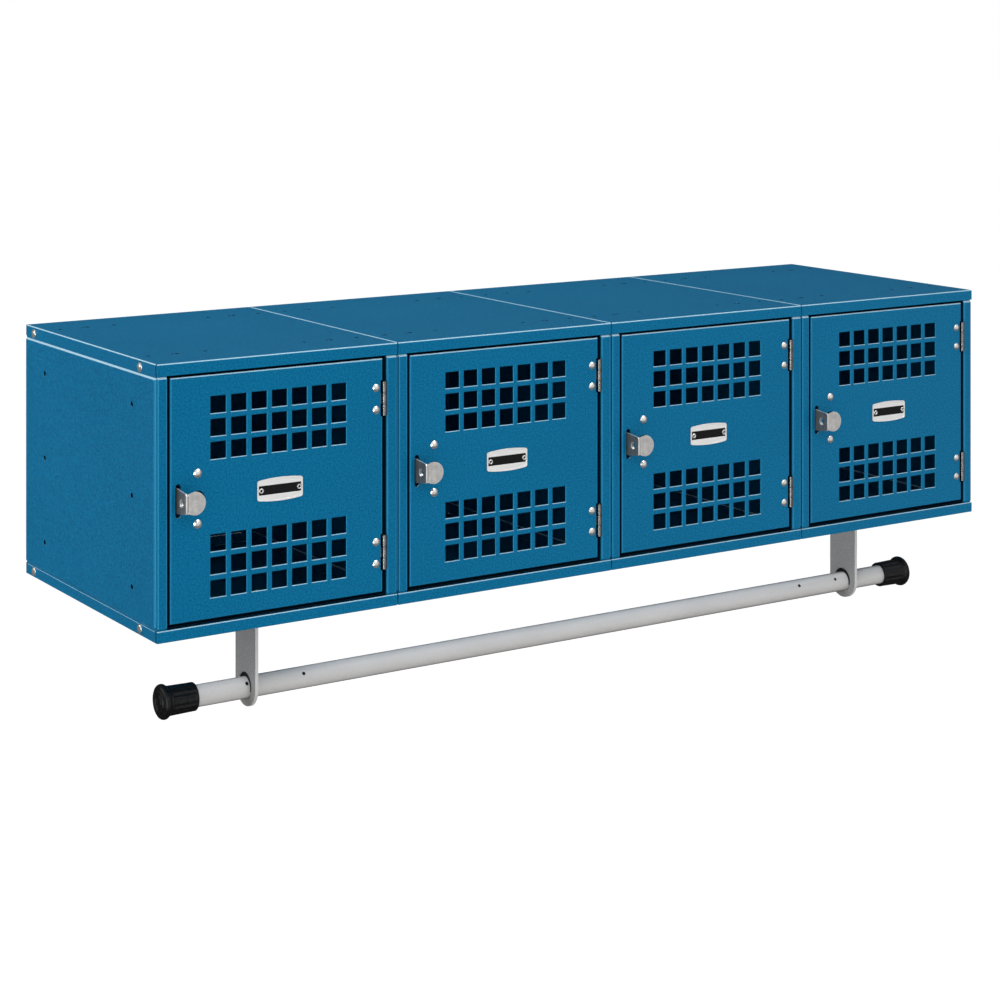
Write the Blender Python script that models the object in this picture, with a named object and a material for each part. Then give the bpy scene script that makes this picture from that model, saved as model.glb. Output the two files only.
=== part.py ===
"""A wall locker of four box compartments in a row, with vented doors and a hanging rod underneath.

Metres, +Z up. The origin is the centre of the back panel's outer face: X runs along the row, Y = 0 is the
wall plane with the doors facing -Y, and Z = 0 is half-way up the boxes. One box is modelled in its own
frame, with x from its left side, y from its front plane towards the wall and z from its underside, and is
then placed BOXES times.
"""

import math

import bmesh
import bpy
from mathutils import Matrix, Vector

INCH = 0.0254
MM = 0.001

# Driving dimensions.
BOXES = 4
WIDTH = 12 * INCH
HEIGHT = 12 * INCH
DEPTH = 15 * INCH
CLEAR = 0.3 * MM
PAN_SHEET = 1.2 * MM
FRAME_SHEET = 1.5 * MM
DOOR_SHEET = 1.5 * MM
FLANGE = 13.4 * MM

# Front: the pan, the posts and the door, across and up one box.
PAN_GAP = 0.24 * MM
SIDE_INSET = PAN_SHEET + CLEAR
SIDE_RETURN = 9.6 * MM
POST_WIDTH = 11.9 * MM
DOOR_LEFT = 16.4 * MM
DOOR_RIGHT = 284.4 * MM
DOOR_BOTTOM = 18.8 * MM
DOOR_TOP = 288.4 * MM
DOOR_DEPTH = 14.5 * MM
STOP_FRONT = 15.5 * MM
STOP_BACK = STOP_FRONT + FRAME_SHEET
STOP_LAP = 5.4 * MM
RIGHT_JAMB = 290.0 * MM

# Vents: square holes on a square pitch, in two equal grids.
VENT_SIDE = 0.75 * INCH
VENT_PITCH = 1.0 * INCH
VENT_COLUMNS = 7
VENT_ROWS = 3
DOOR_MID_X = 150.7 * MM
DOOR_MID_Z = 153.2 * MM
VENT_GRID_RISE = 76.4 * MM

# Hinges.
HINGE_X = 286.6 * MM
KNUCKLE_RADIUS = 3.0 * MM
PIN_RADIUS = 1.5 * MM
KNUCKLE = 13.0 * MM
HINGE_HEIGHTS = (DOOR_MID_Z - 3.5 * INCH, DOOR_MID_Z + 3.5 * INCH)
HINGE_RIVET_X = 275.6 * MM
HINGE_RIVET_RISE = 0.5 * INCH

# Latch: a fixed padlock eye and a door pull share one slot in the door.
LATCH_MID_Z = DOOR_MID_Z
SLOT_LEFT = 22.4 * MM
SLOT_RIGHT = 29.0 * MM
SLOT_HEIGHT = 37.4 * MM
EYE_LEFT = 24.4 * MM
LATCH_SHEET = 2.0 * MM
EYE_HEIGHT = 27.5 * MM
EYE_END_HEIGHT = 22.2 * MM
EYE_CORNER = 3.0 * MM
EYE_REACH = 22.6 * MM
SHACKLE_RADIUS = 4.75 * MM
SHACKLE_OUT = 11.5 * MM
PULL_LEFT = EYE_LEFT + LATCH_SHEET + CLEAR
PULL_OUT = 21.6 * MM
PULL_RIGHT = 48.8 * MM
PULL_LEG_HEIGHT = 21.6 * MM
PULL_TAB_RADIUS = 12.8 * MM
PULL_RIVET_X = 49.3 * MM
PULL_RIVET_RISE = 27.9 * MM
LOCK_HOLE_RADIUS = 9.0 * MM
LOCK_HOLE_X = 49.0 * MM

# Number plate.
PLATE_WIDTH = 57.2 * MM
PLATE_MID_HEIGHT = 26.6 * MM
PLATE_END_HEIGHT = 22.2 * MM
PLATE_SHEET = 1.2 * MM
PLATE_RIVET_RUN = 24.0 * MM

# Rivets: a domed head in front of the sheet and a shank through it.
HINGE_HEAD = (4.6 * MM, 2.4 * MM)
PULL_HEAD = (5.0 * MM, 2.7 * MM)
PLATE_HEAD = (3.0 * MM, 1.6 * MM)
SHANK_RADIUS = 2.4 * MM
PLATE_SHANK_RADIUS = 1.4 * MM

# Screw holes in the side panels, for bolting to a neighbour.
SIDE_HOLE_RADIUS = 3.0 * MM
SIDE_HOLE_RUN = 5.0 * INCH
SIDE_HOLE_RISE = 4.0 * INCH
SIDE_HOLE_MID_Z = 151.4 * MM

# Hanging rod.
ROD_RADIUS = 0.5 * INCH
ROD_WALL = 1.6 * MM
ROD_Y = 100.0 * MM
ROD_Z = -96.0 * MM
ROD_LENGTH = 1124.0 * MM
ROD_SHIFT = 5.0 * MM
ROD_HOLE_RADIUS = 15.4 * MM
BAR_X = 160.0 * MM
BAR_WIDTH = 2.0 * INCH
BAR_END_HEIGHT = 24.0 * MM
BAR_SHEET = 4.0 * MM
BAR_FOOT = 40.0 * MM
BOLT_RADIUS = 3.0 * MM
BOLT_HEAD_RADIUS = 5.6 * MM
BOLT_HEAD = 4.0 * MM
NUT = 5.0 * MM
BOLT_ROW = 16.0 * MM
CAP_LENGTH = 45.0 * MM
CAP_BODY_RADIUS = 17.0 * MM
CAP_FLARE_RADIUS = 20.0 * MM
CAP_END_WALL = 5.0 * MM
CAP_LIP = 9.0 * MM
CAP_SIDES = 28

# Screw holes in the back panel, four behind each box.
WALL_HOLE_RADIUS = 3.5 * MM
WALL_HOLE_RUN = 4.0 * INCH
WALL_HOLE_RISE = 4.5 * INCH

MATERIALS = {
    "blue_powder_coat": ((0.030, 0.150, 0.300, 1.0), 0.42, 0.0),
    "nickel_plate": ((0.560, 0.545, 0.520, 1.0), 0.30, 1.0),
    "bracket_paint": ((0.400, 0.410, 0.420, 1.0), 0.45, 0.0),
    "rod_paint": ((0.560, 0.560, 0.560, 1.0), 0.45, 0.0),
    "black_rubber": ((0.018, 0.018, 0.019, 1.0), 0.70, 0.0),
}


# ---------------------------------------------------------------- solids


def clear_scene():
    for old in list(bpy.data.objects):
        bpy.data.objects.remove(old, do_unlink=True)


def new_object(name, build):
    """An object whose mesh is filled by build(bm), with its faces turned out."""
    bm = bmesh.new()
    build(bm)
    bmesh.ops.recalc_face_normals(bm, faces=bm.faces)
    mesh = bpy.data.meshes.new(name)
    bm.to_mesh(mesh)
    bm.free()
    obj = bpy.data.objects.new(name, mesh)
    bpy.context.scene.collection.objects.link(obj)
    return obj


def add_block(bm, low, high):
    """A cuboid between two corners."""
    low, high = Vector(low), Vector(high)
    size = Matrix.Diagonal((*(high - low), 1.0))
    bmesh.ops.create_cube(bm, size=1.0, matrix=Matrix.Translation((low + high) / 2) @ size)


def add_prism(bm, outline, start, end, place):
    """An outline of (u, v) points carried from start to end; place(u, v, w) gives the point in the box."""
    rings = [[bm.verts.new(place(u, v, w)) for u, v in outline] for w in (start, end)]
    bm.faces.new(rings[0])
    bm.faces.new(list(reversed(rings[1])))
    for i in range(len(outline)):
        j = (i + 1) % len(outline)
        bm.faces.new((rings[0][i], rings[1][i], rings[1][j], rings[0][j]))


def add_turned(bm, profile, sides, place, closed=False):
    """A profile of (along, radius) points turned about the line place(along, 0, 0).

    A closed profile makes a ring; an open one has flat ends, or pointed ones where its radius is 0.
    """
    rings = []
    for along, radius in profile:
        if radius == 0:
            rings.append([bm.verts.new(place(along, 0, 0))])
            continue
        turns = (math.tau * (i + 0.5) / sides for i in range(sides))
        rings.append(
            [bm.verts.new(place(along, radius * math.cos(t), radius * math.sin(t))) for t in turns]
        )
    pairs = list(zip(rings, rings[1:]))
    if closed:
        pairs.append((rings[-1], rings[0]))
    for a, b in pairs:
        for i in range(sides):
            j = (i + 1) % sides
            corners = [a[i % len(a)], a[j % len(a)], b[j % len(b)], b[i % len(b)]]
            bm.faces.new(list(dict.fromkeys(corners)))
    if not closed:
        for ring in (rings[0], rings[-1]):
            if len(ring) > 1:
                bm.faces.new(ring)


def block(low, high):
    return new_object("block", lambda bm: add_block(bm, low, high))


def prism(outline, start, end, place):
    return new_object("prism", lambda bm: add_prism(bm, outline, start, end, place))


def turned(profile, sides, place, closed=False):
    return new_object("turned", lambda bm: add_turned(bm, profile, sides, place, closed))


def facing_y(x, z):
    """Places (u, v, w) with w along y, around (x, z)."""
    return lambda u, v, w: (x + u, w, z + v)


def facing_x(y, z):
    """The same with w along x, around (y, z)."""
    return lambda u, v, w: (w, y + u, z + v)


def facing_z(x, y):
    """The same with w along z, around (x, y)."""
    return lambda u, v, w: (x + u, y + v, w)


def along_x(y, z):
    """Places (along, v, w) of a turned piece whose axis runs along x; the next two do the same."""
    return lambda u, v, w: (u, y + v, z + w)


def along_y(x, z):
    return lambda u, v, w: (x + v, u, z + w)


def along_z(x, y):
    return lambda u, v, w: (x + v, y + w, u)


def arc(centre, radius, start, end, steps):
    """Points on an arc, in degrees, both ends included."""
    angles = (math.radians(start + (end - start) * i / steps) for i in range(steps + 1))
    return [(centre[0] + radius * math.cos(a), centre[1] + radius * math.sin(a)) for a in angles]


def circle(radius, sides):
    return [
        (radius * math.cos(math.tau * (i + 0.5) / sides), radius * math.sin(math.tau * (i + 0.5) / sides))
        for i in range(sides)
    ]


def stadium(width, height, steps=6):
    """An upright slot outline with round ends."""
    radius = width / 2
    straight = height / 2 - radius
    return arc((0, straight), radius, 0, 180, steps) + arc((0, -straight), radius, 180, 360, steps)


def open_tray(low, high, sheet, open_side):
    """A sheet tray: five walls of a cuboid, folded inwards by the sheet, with one side open.

    open_side is a unit vector that points out of the opening.
    """
    obj = block(low, high)
    bm = bmesh.new()
    bm.from_mesh(obj.data)
    bmesh.ops.recalc_face_normals(bm, faces=bm.faces)
    gone = [face for face in bm.faces if face.normal.dot(Vector(open_side)) > 0.9]
    bmesh.ops.delete(bm, geom=gone, context="FACES_ONLY")
    bm.to_mesh(obj.data)
    bm.free()
    solidify = obj.modifiers.new("sheet", "SOLIDIFY")
    solidify.thickness = sheet
    solidify.offset = -1.0
    solidify.use_even_offset = True
    return bake(obj)


def bake(obj):
    """Replaces the object's mesh with its evaluated one and drops its modifiers and cutters."""
    bpy.context.view_layer.update()
    graph = bpy.context.evaluated_depsgraph_get()
    mesh = bpy.data.meshes.new_from_object(obj.evaluated_get(graph))
    helpers = {m.object for m in obj.modifiers if m.type == "BOOLEAN"}
    obj.modifiers.clear()
    obj.data = mesh
    for helper in helpers:
        bpy.data.objects.remove(helper, do_unlink=True)
    return obj


def combine(obj, others, operation):
    for other in others:
        other.hide_render = True
        other.display_type = "WIRE"
        boolean = obj.modifiers.new(operation.lower(), "BOOLEAN")
        boolean.operation = operation
        boolean.object = other
    return bake(obj)


def weld(first, *others):
    return combine(first, others, "UNION")


def cut(obj, *cutters):
    return combine(obj, cutters, "DIFFERENCE")


# ---------------------------------------------------------------- sheet parts of one box


def hole_cutter(centres, radius, sides, start, end, place_at):
    """One cutter for several equal round holes; place_at(a, b) gives the place function of a hole."""

    def build(bm):
        for a, b in centres:
            add_prism(bm, circle(radius, sides), start, end, place_at(a, b))

    return new_object("holes", build)


def rod_bolt_places():
    """(x, y) of the two holes that take the rod bracket's bolts."""
    x = BAR_X + BAR_SHEET / 2 + BAR_FOOT / 2
    return [(x, ROD_Y - BOLT_ROW), (x, ROD_Y + BOLT_ROW)]


def top_pan():
    low = (PAN_GAP, 0, HEIGHT - FLANGE)
    return open_tray(low, (WIDTH - PAN_GAP, DEPTH, HEIGHT), PAN_SHEET, (0, 0, -1))


def bottom_pan():
    pan = open_tray((PAN_GAP, 0, 0), (WIDTH - PAN_GAP, DEPTH, FLANGE), PAN_SHEET, (0, 0, 1))
    return cut(pan, hole_cutter(rod_bolt_places(), BOLT_RADIUS + CLEAR, 12, -MM, 2 * PAN_SHEET, facing_z))


def side_panel(mirrored):
    """A folded side: the wall itself with a narrow return behind the post and another at the back."""
    outer = PAN_GAP + SIDE_INSET
    front, back = FRAME_SHEET + CLEAR, DEPTH - PAN_SHEET - CLEAR
    low, high = PAN_SHEET + CLEAR, HEIGHT - PAN_SHEET - CLEAR
    inner = outer + PAN_SHEET
    fold = outer + SIDE_RETURN
    outline = [
        (outer, front),
        (fold, front),
        (fold, front + PAN_SHEET),
        (inner, front + PAN_SHEET),
        (inner, back - PAN_SHEET),
        (fold, back - PAN_SHEET),
        (fold, back),
        (outer, back),
    ]
    if mirrored:
        outline = [(WIDTH - x, y) for x, y in reversed(outline)]
    panel = prism(outline, low, high, lambda u, v, w: (u, v, w))
    middle = DEPTH / 2
    centres = [
        (middle + run, SIDE_HOLE_MID_Z + rise)
        for run in (-SIDE_HOLE_RUN, SIDE_HOLE_RUN)
        for rise in (-SIDE_HOLE_RISE, 0, SIDE_HOLE_RISE)
    ]
    start, end = (WIDTH - inner - MM, WIDTH) if mirrored else (0, inner + MM)
    return cut(panel, hole_cutter(centres, SIDE_HOLE_RADIUS, 8, start, end, facing_x))


def door_frame():
    """The welded frame: a tube of jambs with a stop lip inside, two posts in front and two hidden rails."""
    left = SIDE_INSET + POST_WIDTH
    right = RIGHT_JAMB
    opening_low = FLANGE + 0.6 * MM
    opening_high = HEIGHT - FLANGE + 0.1 * MM
    low, high = opening_low - FRAME_SHEET, opening_high + FRAME_SHEET
    jamb_left, jamb_right = left - FRAME_SHEET, right + FRAME_SHEET
    jambs = block((jamb_left, FRAME_SHEET, low), (jamb_right, STOP_BACK, high))
    jambs = cut(jambs, block((left, 0, opening_low), (right, DEPTH, opening_high)))
    lap = 0.4 * MM
    lip = block((jamb_left + lap, STOP_FRONT, low + lap), (jamb_right - lap, STOP_BACK, high - lap))
    inset = STOP_LAP
    lip_low = (DOOR_LEFT + inset, 0, DOOR_BOTTOM + inset)
    lip = cut(lip, block(lip_low, (DOOR_RIGHT - inset, DEPTH, DOOR_TOP - inset)))
    post_low, post_high = FLANGE + CLEAR, HEIGHT - FLANGE - CLEAR
    pieces = [lip]
    for outer, inner, jamb in (
        (SIDE_INSET, left, jamb_left),
        (WIDTH - SIDE_INSET, right, jamb_right),
    ):
        a, b = sorted((outer, inner))
        pieces.append(block((a, 0, post_low), (b, FRAME_SHEET, post_high)))
        a, b = sorted((jamb, inner))
        pieces.append(block((a, 0.2 * MM, post_low + MM), (b, STOP_BACK - MM, post_high - MM)))
    rail_front = PAN_SHEET + CLEAR
    for a, b in ((PAN_SHEET + CLEAR, low + MM), (high - MM, HEIGHT - PAN_SHEET - CLEAR)):
        pieces.append(block((jamb_left, rail_front, a), (jamb_right, rail_front + FRAME_SHEET, b)))
    return weld(jambs, *pieces)


def vent_cutter():
    """All the square holes of one door."""

    def build(bm):
        half = VENT_SIDE / 2
        for grid in (-VENT_GRID_RISE, VENT_GRID_RISE):
            for row in range(VENT_ROWS):
                z = DOOR_MID_Z + grid + (row - (VENT_ROWS - 1) / 2) * VENT_PITCH
                for column in range(VENT_COLUMNS):
                    x = DOOR_MID_X + (column - (VENT_COLUMNS - 1) / 2) * VENT_PITCH
                    add_block(bm, (x - half, -MM, z - half), (x + half, 2 * DOOR_SHEET, z + half))

    return new_object("vents", build)


def door():
    """A door pan with its vents, latch slot, lock hole, rivet holes and the notches for the knuckles."""
    low, high = (DOOR_LEFT, 0, DOOR_BOTTOM), (DOOR_RIGHT, DOOR_DEPTH, DOOR_TOP)
    sheet = open_tray(low, high, DOOR_SHEET, (0, 1, 0))
    front, back = -MM, 2 * DOOR_SHEET
    slot_x = (SLOT_LEFT + SLOT_RIGHT) / 2
    slot = prism(stadium(SLOT_RIGHT - SLOT_LEFT, SLOT_HEIGHT), front, back, facing_y(slot_x, LATCH_MID_Z))
    lock = prism(circle(LOCK_HOLE_RADIUS, 20), front, back, facing_y(LOCK_HOLE_X, LATCH_MID_Z))
    big = [(HINGE_RIVET_X, z + s * HINGE_RIVET_RISE) for z in HINGE_HEIGHTS for s in (-1, 1)]
    big += [(PULL_RIVET_X, LATCH_MID_Z + s * PULL_RIVET_RISE) for s in (-1, 1)]
    small = [(DOOR_MID_X + s * PLATE_RIVET_RUN, DOOR_MID_Z) for s in (-1, 1)]
    rivets = hole_cutter(big, SHANK_RADIUS + CLEAR, 10, front, back, facing_y)
    plate_rivets = hole_cutter(small, PLATE_SHANK_RADIUS + CLEAR, 8, front, back, facing_y)
    notch_half = 1.5 * KNUCKLE + 1.5 * MM
    notch_left = HINGE_X - KNUCKLE_RADIUS - 2 * MM
    notches = [
        block((notch_left, -MM, z - notch_half), (DOOR_RIGHT + MM, DOOR_DEPTH + MM, z + notch_half))
        for z in HINGE_HEIGHTS
    ]
    return cut(sheet, vent_cutter(), slot, lock, rivets, plate_rivets, *notches)


# ---------------------------------------------------------------- hardware of one box


def rivet(x, z, head, shank, tail):
    """A domed head in front of the sheet at y = 0, with a shank that reaches back to tail."""
    radius, height = head
    face = -CLEAR
    dome = [(face - height * math.sin(a), radius * math.cos(a)) for a in (0, 0.5, 1.0)]
    profile = [(tail, shank), (face, shank)] + dome + [(face - height, 0)]
    return turned(profile, 12, along_y(x, z))


def frame_leaf(z):
    """The hinge half on the jamb: its plate, the two outer knuckles and the pin that joins them."""
    plate_left = HINGE_X + 1.8 * MM
    plate_right = HINGE_X + KNUCKLE_RADIUS
    half = 1.5 * KNUCKLE
    plate_front = KNUCKLE_RADIUS + 0.8 * MM
    plate = block((plate_left, plate_front, z - half), (plate_right, STOP_FRONT - MM, z + half))
    pin = turned([(z - half + MM, PIN_RADIUS), (z + half - MM, PIN_RADIUS)], 12, along_z(HINGE_X, 0))
    pieces = [pin]
    for a, b in ((z - half, z - KNUCKLE / 2 - CLEAR / 2), (z + KNUCKLE / 2 + CLEAR / 2, z + half)):
        pieces.append(turned([(a, KNUCKLE_RADIUS), (b, KNUCKLE_RADIUS)], 12, along_z(HINGE_X, 0)))
        pieces.append(block((plate_left, 0, a), (plate_right, KNUCKLE_RADIUS + MM, b)))
    return weld(plate, *pieces)


def door_leaf(z):
    """The hinge half behind the door sheet: its plate, the middle knuckle and two rivets."""
    front = DOOR_SHEET + CLEAR
    back = KNUCKLE_RADIUS
    half = 1.5 * KNUCKLE
    middle = KNUCKLE / 2 - CLEAR / 2
    plate_left, plate_right = HINGE_RIVET_X - 8 * MM, HINGE_X - KNUCKLE_RADIUS - 2.4 * MM
    plate = block((plate_left, front, z - half), (plate_right, back, z + half))
    neck = block((HINGE_RIVET_X, front, z - middle), (HINGE_X - 0.6 * MM, back, z + middle))
    bore = PIN_RADIUS + CLEAR
    rim = [(z + side * middle, radius) for side, radius in zip((-1, 1, 1, -1), (1, 1, 0, 0))]
    rim = [(along, KNUCKLE_RADIUS if outside else bore) for along, outside in rim]
    ring = turned(rim, 12, along_z(HINGE_X, 0), closed=True)
    neck = cut(neck, turned([(z - middle - MM, bore), (z + middle + MM, bore)], 12, along_z(HINGE_X, 0)))
    rivets = [
        rivet(HINGE_RIVET_X, z + s * HINGE_RIVET_RISE, HINGE_HEAD, SHANK_RADIUS, back - 0.5 * MM)
        for s in (-1, 1)
    ]
    return weld(plate, neck, ring, *rivets)


def padlock_eye():
    """The fixed eye: a foot behind the stop lip and a plate that narrows out through the door's slot."""
    foot_front = STOP_BACK + CLEAR
    half, end_half = EYE_HEIGHT / 2, EYE_END_HEIGHT / 2
    corner = EYE_CORNER
    front, back = -EYE_REACH, foot_front + LATCH_SHEET
    outline = (
        arc((front + corner, end_half - corner), corner, 90, 180, 4)
        + arc((front + corner, corner - end_half), corner, 180, 270, 4)
        + [(0, -half), (back, -half), (back, half), (0, half)]
    )
    sideways = lambda u, v, w: (w, u, LATCH_MID_Z + v)
    eye = prism(outline, EYE_LEFT, EYE_LEFT + LATCH_SHEET, sideways)
    foot_left = SIDE_INSET + POST_WIDTH + 0.6 * MM
    foot = block((foot_left, foot_front, LATCH_MID_Z - half), (EYE_LEFT + MM, back, LATCH_MID_Z + half))
    return cut(weld(eye, foot), shackle_hole(EYE_LEFT))


def shackle_hole(left):
    """The padlock's hole through a latch plate whose left face is at x = left."""
    ends = (left - MM, left + LATCH_SHEET + MM)
    return turned([(x, SHACKLE_RADIUS) for x in ends], 16, along_x(-SHACKLE_OUT, LATCH_MID_Z))


def door_pull():
    """One formed plate: a base riveted behind the door, a leg beside the eye and a rounded finger tab."""
    base_front = DOOR_SHEET + CLEAR
    base_back = base_front + LATCH_SHEET
    half = PULL_LEG_HEIGHT / 2
    base_half = PULL_RIVET_RISE + 8.0 * MM
    leg_right = PULL_LEFT + LATCH_SHEET
    base_right = PULL_RIVET_X + 11 * MM
    base_low = (PULL_LEFT, base_front, LATCH_MID_Z - base_half)
    base = block(base_low, (base_right, base_back, LATCH_MID_Z + base_half))
    lock = circle(LOCK_HOLE_RADIUS + MM, 20)
    base = cut(base, prism(lock, 0, 2 * base_back, facing_y(LOCK_HOLE_X, LATCH_MID_Z)))
    leg = block((PULL_LEFT, -PULL_OUT, LATCH_MID_Z - half), (leg_right, base_back, LATCH_MID_Z + half))
    round_x = PULL_RIGHT - PULL_TAB_RADIUS
    start = math.degrees(math.acos((PULL_LEFT - round_x) / PULL_TAB_RADIUS))
    outline = arc((round_x, 0), PULL_TAB_RADIUS, -start, start, 18)
    tab = prism(outline, -PULL_OUT, LATCH_SHEET - PULL_OUT, facing_y(0, LATCH_MID_Z))
    tail = base_back - 0.5 * MM
    rivets = [
        rivet(PULL_RIVET_X, LATCH_MID_Z + s * PULL_RIVET_RISE, PULL_HEAD, SHANK_RADIUS, tail)
        for s in (-1, 1)
    ]
    return cut(weld(base, leg, tab, *rivets), shackle_hole(PULL_LEFT))


def number_plate():
    """A thin plate with bowed edges and two rivets."""
    half_width = PLATE_WIDTH / 2
    bow = (PLATE_MID_HEIGHT - PLATE_END_HEIGHT) / 2
    steps = 8

    def edge(sign):
        return [
            (sign * half_width * t, sign * (PLATE_END_HEIGHT / 2 + bow * (1 - t * t)))
            for t in (1 - 2 * i / steps for i in range(steps + 1))
        ]

    outline = edge(1) + edge(-1)
    front = -CLEAR - PLATE_SHEET
    plate = prism(outline, front, -CLEAR, facing_y(DOOR_MID_X, DOOR_MID_Z))
    radius, height = PLATE_HEAD
    rivets = []
    for s in (-1, 1):
        dome = [(front - height * math.sin(a), radius * math.cos(a)) for a in (0, 0.5, 1.0)]
        profile = [(DOOR_SHEET + MM, PLATE_SHANK_RADIUS), (front + 0.5 * MM, PLATE_SHANK_RADIUS)]
        profile += [(front + 0.5 * MM, radius)] + dome + [(front - height, 0)]
        rivets.append(turned(profile, 10, along_y(DOOR_MID_X + s * PLATE_RIVET_RUN, DOOR_MID_Z)))
    return weld(plate, *rivets)


# ---------------------------------------------------------------- parts shared by the row


def back_panel():
    """One sheet behind all the boxes, between the pans' flanges, with holes for screws into the wall."""
    right = BOXES * WIDTH / 2 - SIDE_INSET
    top = HEIGHT / 2 - FLANGE - CLEAR
    panel = block((-right, -PAN_SHEET, -top), (right, 0, top))
    centres = [
        (box_corner(i).x + WIDTH / 2 + across * WALL_HOLE_RUN, up * WALL_HOLE_RISE)
        for i in range(BOXES)
        for across in (-1, 1)
        for up in (-1, 1)
    ]
    return cut(panel, hole_cutter(centres, WALL_HOLE_RADIUS, 8, -2 * PAN_SHEET, MM, facing_y))


def rod_tube():
    half = ROD_LENGTH / 2
    inner = ROD_RADIUS - ROD_WALL
    profile = [(-half, ROD_RADIUS), (half, ROD_RADIUS), (half, inner), (-half, inner)]
    return turned(profile, 32, along_x(0, 0), closed=True)


def rod_cap():
    """A flared rubber tip, open towards +x, that starts at its closed end at x = 0."""
    bore = ROD_RADIUS + CLEAR
    outside = [
        (CAP_LENGTH, CAP_BODY_RADIUS - MM),
        (CAP_LIP + 3 * MM, CAP_BODY_RADIUS),
        (CAP_LIP, CAP_FLARE_RADIUS - 0.5 * MM),
        (CAP_LIP / 2, CAP_FLARE_RADIUS),
        (MM, CAP_FLARE_RADIUS - 2 * MM),
        (0, CAP_FLARE_RADIUS - 6 * MM),
    ]
    cap = turned(outside, CAP_SIDES, along_x(0, 0))
    return cut(cap, turned([(CAP_END_WALL, bore), (CAP_LENGTH + MM, bore)], CAP_SIDES, along_x(0, 0)))


def rod_bracket():
    """A flat bar hung under a box: a bolted foot at the top and a round lower end with the rod's hole."""
    half = BAR_WIDTH / 2
    hole_z = ROD_Z + ROD_HOLE_RADIUS - ROD_RADIUS - CLEAR
    top = -CLEAR
    end = [(u, hole_z + v * BAR_END_HEIGHT / half) for u, v in arc((0, 0), half, 180, 360, 16)]
    outline = [(half, top), (-half, top)] + end
    bar = prism(outline, -BAR_SHEET / 2, BAR_SHEET / 2, lambda u, v, w: (w, ROD_Y + u, v))
    through = [(-BAR_SHEET, ROD_HOLE_RADIUS), (BAR_SHEET, ROD_HOLE_RADIUS)]
    bar = cut(bar, turned(through, 32, along_x(ROD_Y, hole_z)))
    foot_low = (-BAR_SHEET / 2, ROD_Y - half, top - BAR_SHEET)
    foot = block(foot_low, (BAR_SHEET / 2 + BAR_FOOT, ROD_Y + half, top))
    hexagon = circle(BOLT_HEAD_RADIUS, 6)
    shank = circle(BOLT_RADIUS, 12)
    under, floor = top - BAR_SHEET, PAN_SHEET + CLEAR
    bolts = []
    for x, y in rod_bolt_places():
        place = facing_z(x - BAR_X, y)
        bolts.append(prism(hexagon, under - BOLT_HEAD, under + MM, place))
        bolts.append(prism(shank, under, floor + NUT + 3 * MM, place))
        bolts.append(prism(hexagon, floor, floor + NUT, place))
    return weld(bar, foot, *bolts)


# ---------------------------------------------------------------- assembly


def box_corner(i):
    """World place of a box's own origin: its left side, front plane and underside."""
    return Vector(((i - BOXES / 2) * WIDTH, -DEPTH, -HEIGHT / 2))


def material(slot):
    found = bpy.data.materials.get(slot)
    if found:
        return found
    colour, roughness, metallic = MATERIALS[slot]
    made = bpy.data.materials.new(slot)
    made.use_nodes = True
    shader = made.node_tree.nodes["Principled BSDF"]
    shader.inputs["Base Color"].default_value = colour
    shader.inputs["Roughness"].default_value = roughness
    shader.inputs["Metallic"].default_value = metallic
    made.diffuse_color = colour
    return made


def finish_mesh(obj, slot):
    """Takes the built mesh, gives it its material and smooth shading, and drops the working object."""
    mesh = obj.data
    mesh.materials.clear()
    mesh.materials.append(material(slot))
    mesh.shade_smooth()
    mesh.set_sharp_from_angle(angle=math.radians(30))
    bpy.data.objects.remove(obj, do_unlink=True)
    return mesh


def put(name, mesh, place, parent=None, spun=False):
    """An object of this mesh with its origin at place, in the world or under a parent empty."""
    obj = bpy.data.objects.new(name, mesh)
    bpy.context.scene.collection.objects.link(obj)
    if spun:
        obj.rotation_euler = (0, 0, math.pi)
    obj.location = place
    if parent:
        obj.parent = parent
        obj.location = Vector(place) - parent.location
    return obj


def axis_empty(name, place):
    empty = bpy.data.objects.new(name, None)
    empty.location = place
    bpy.context.scene.collection.objects.link(empty)
    return empty


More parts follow.
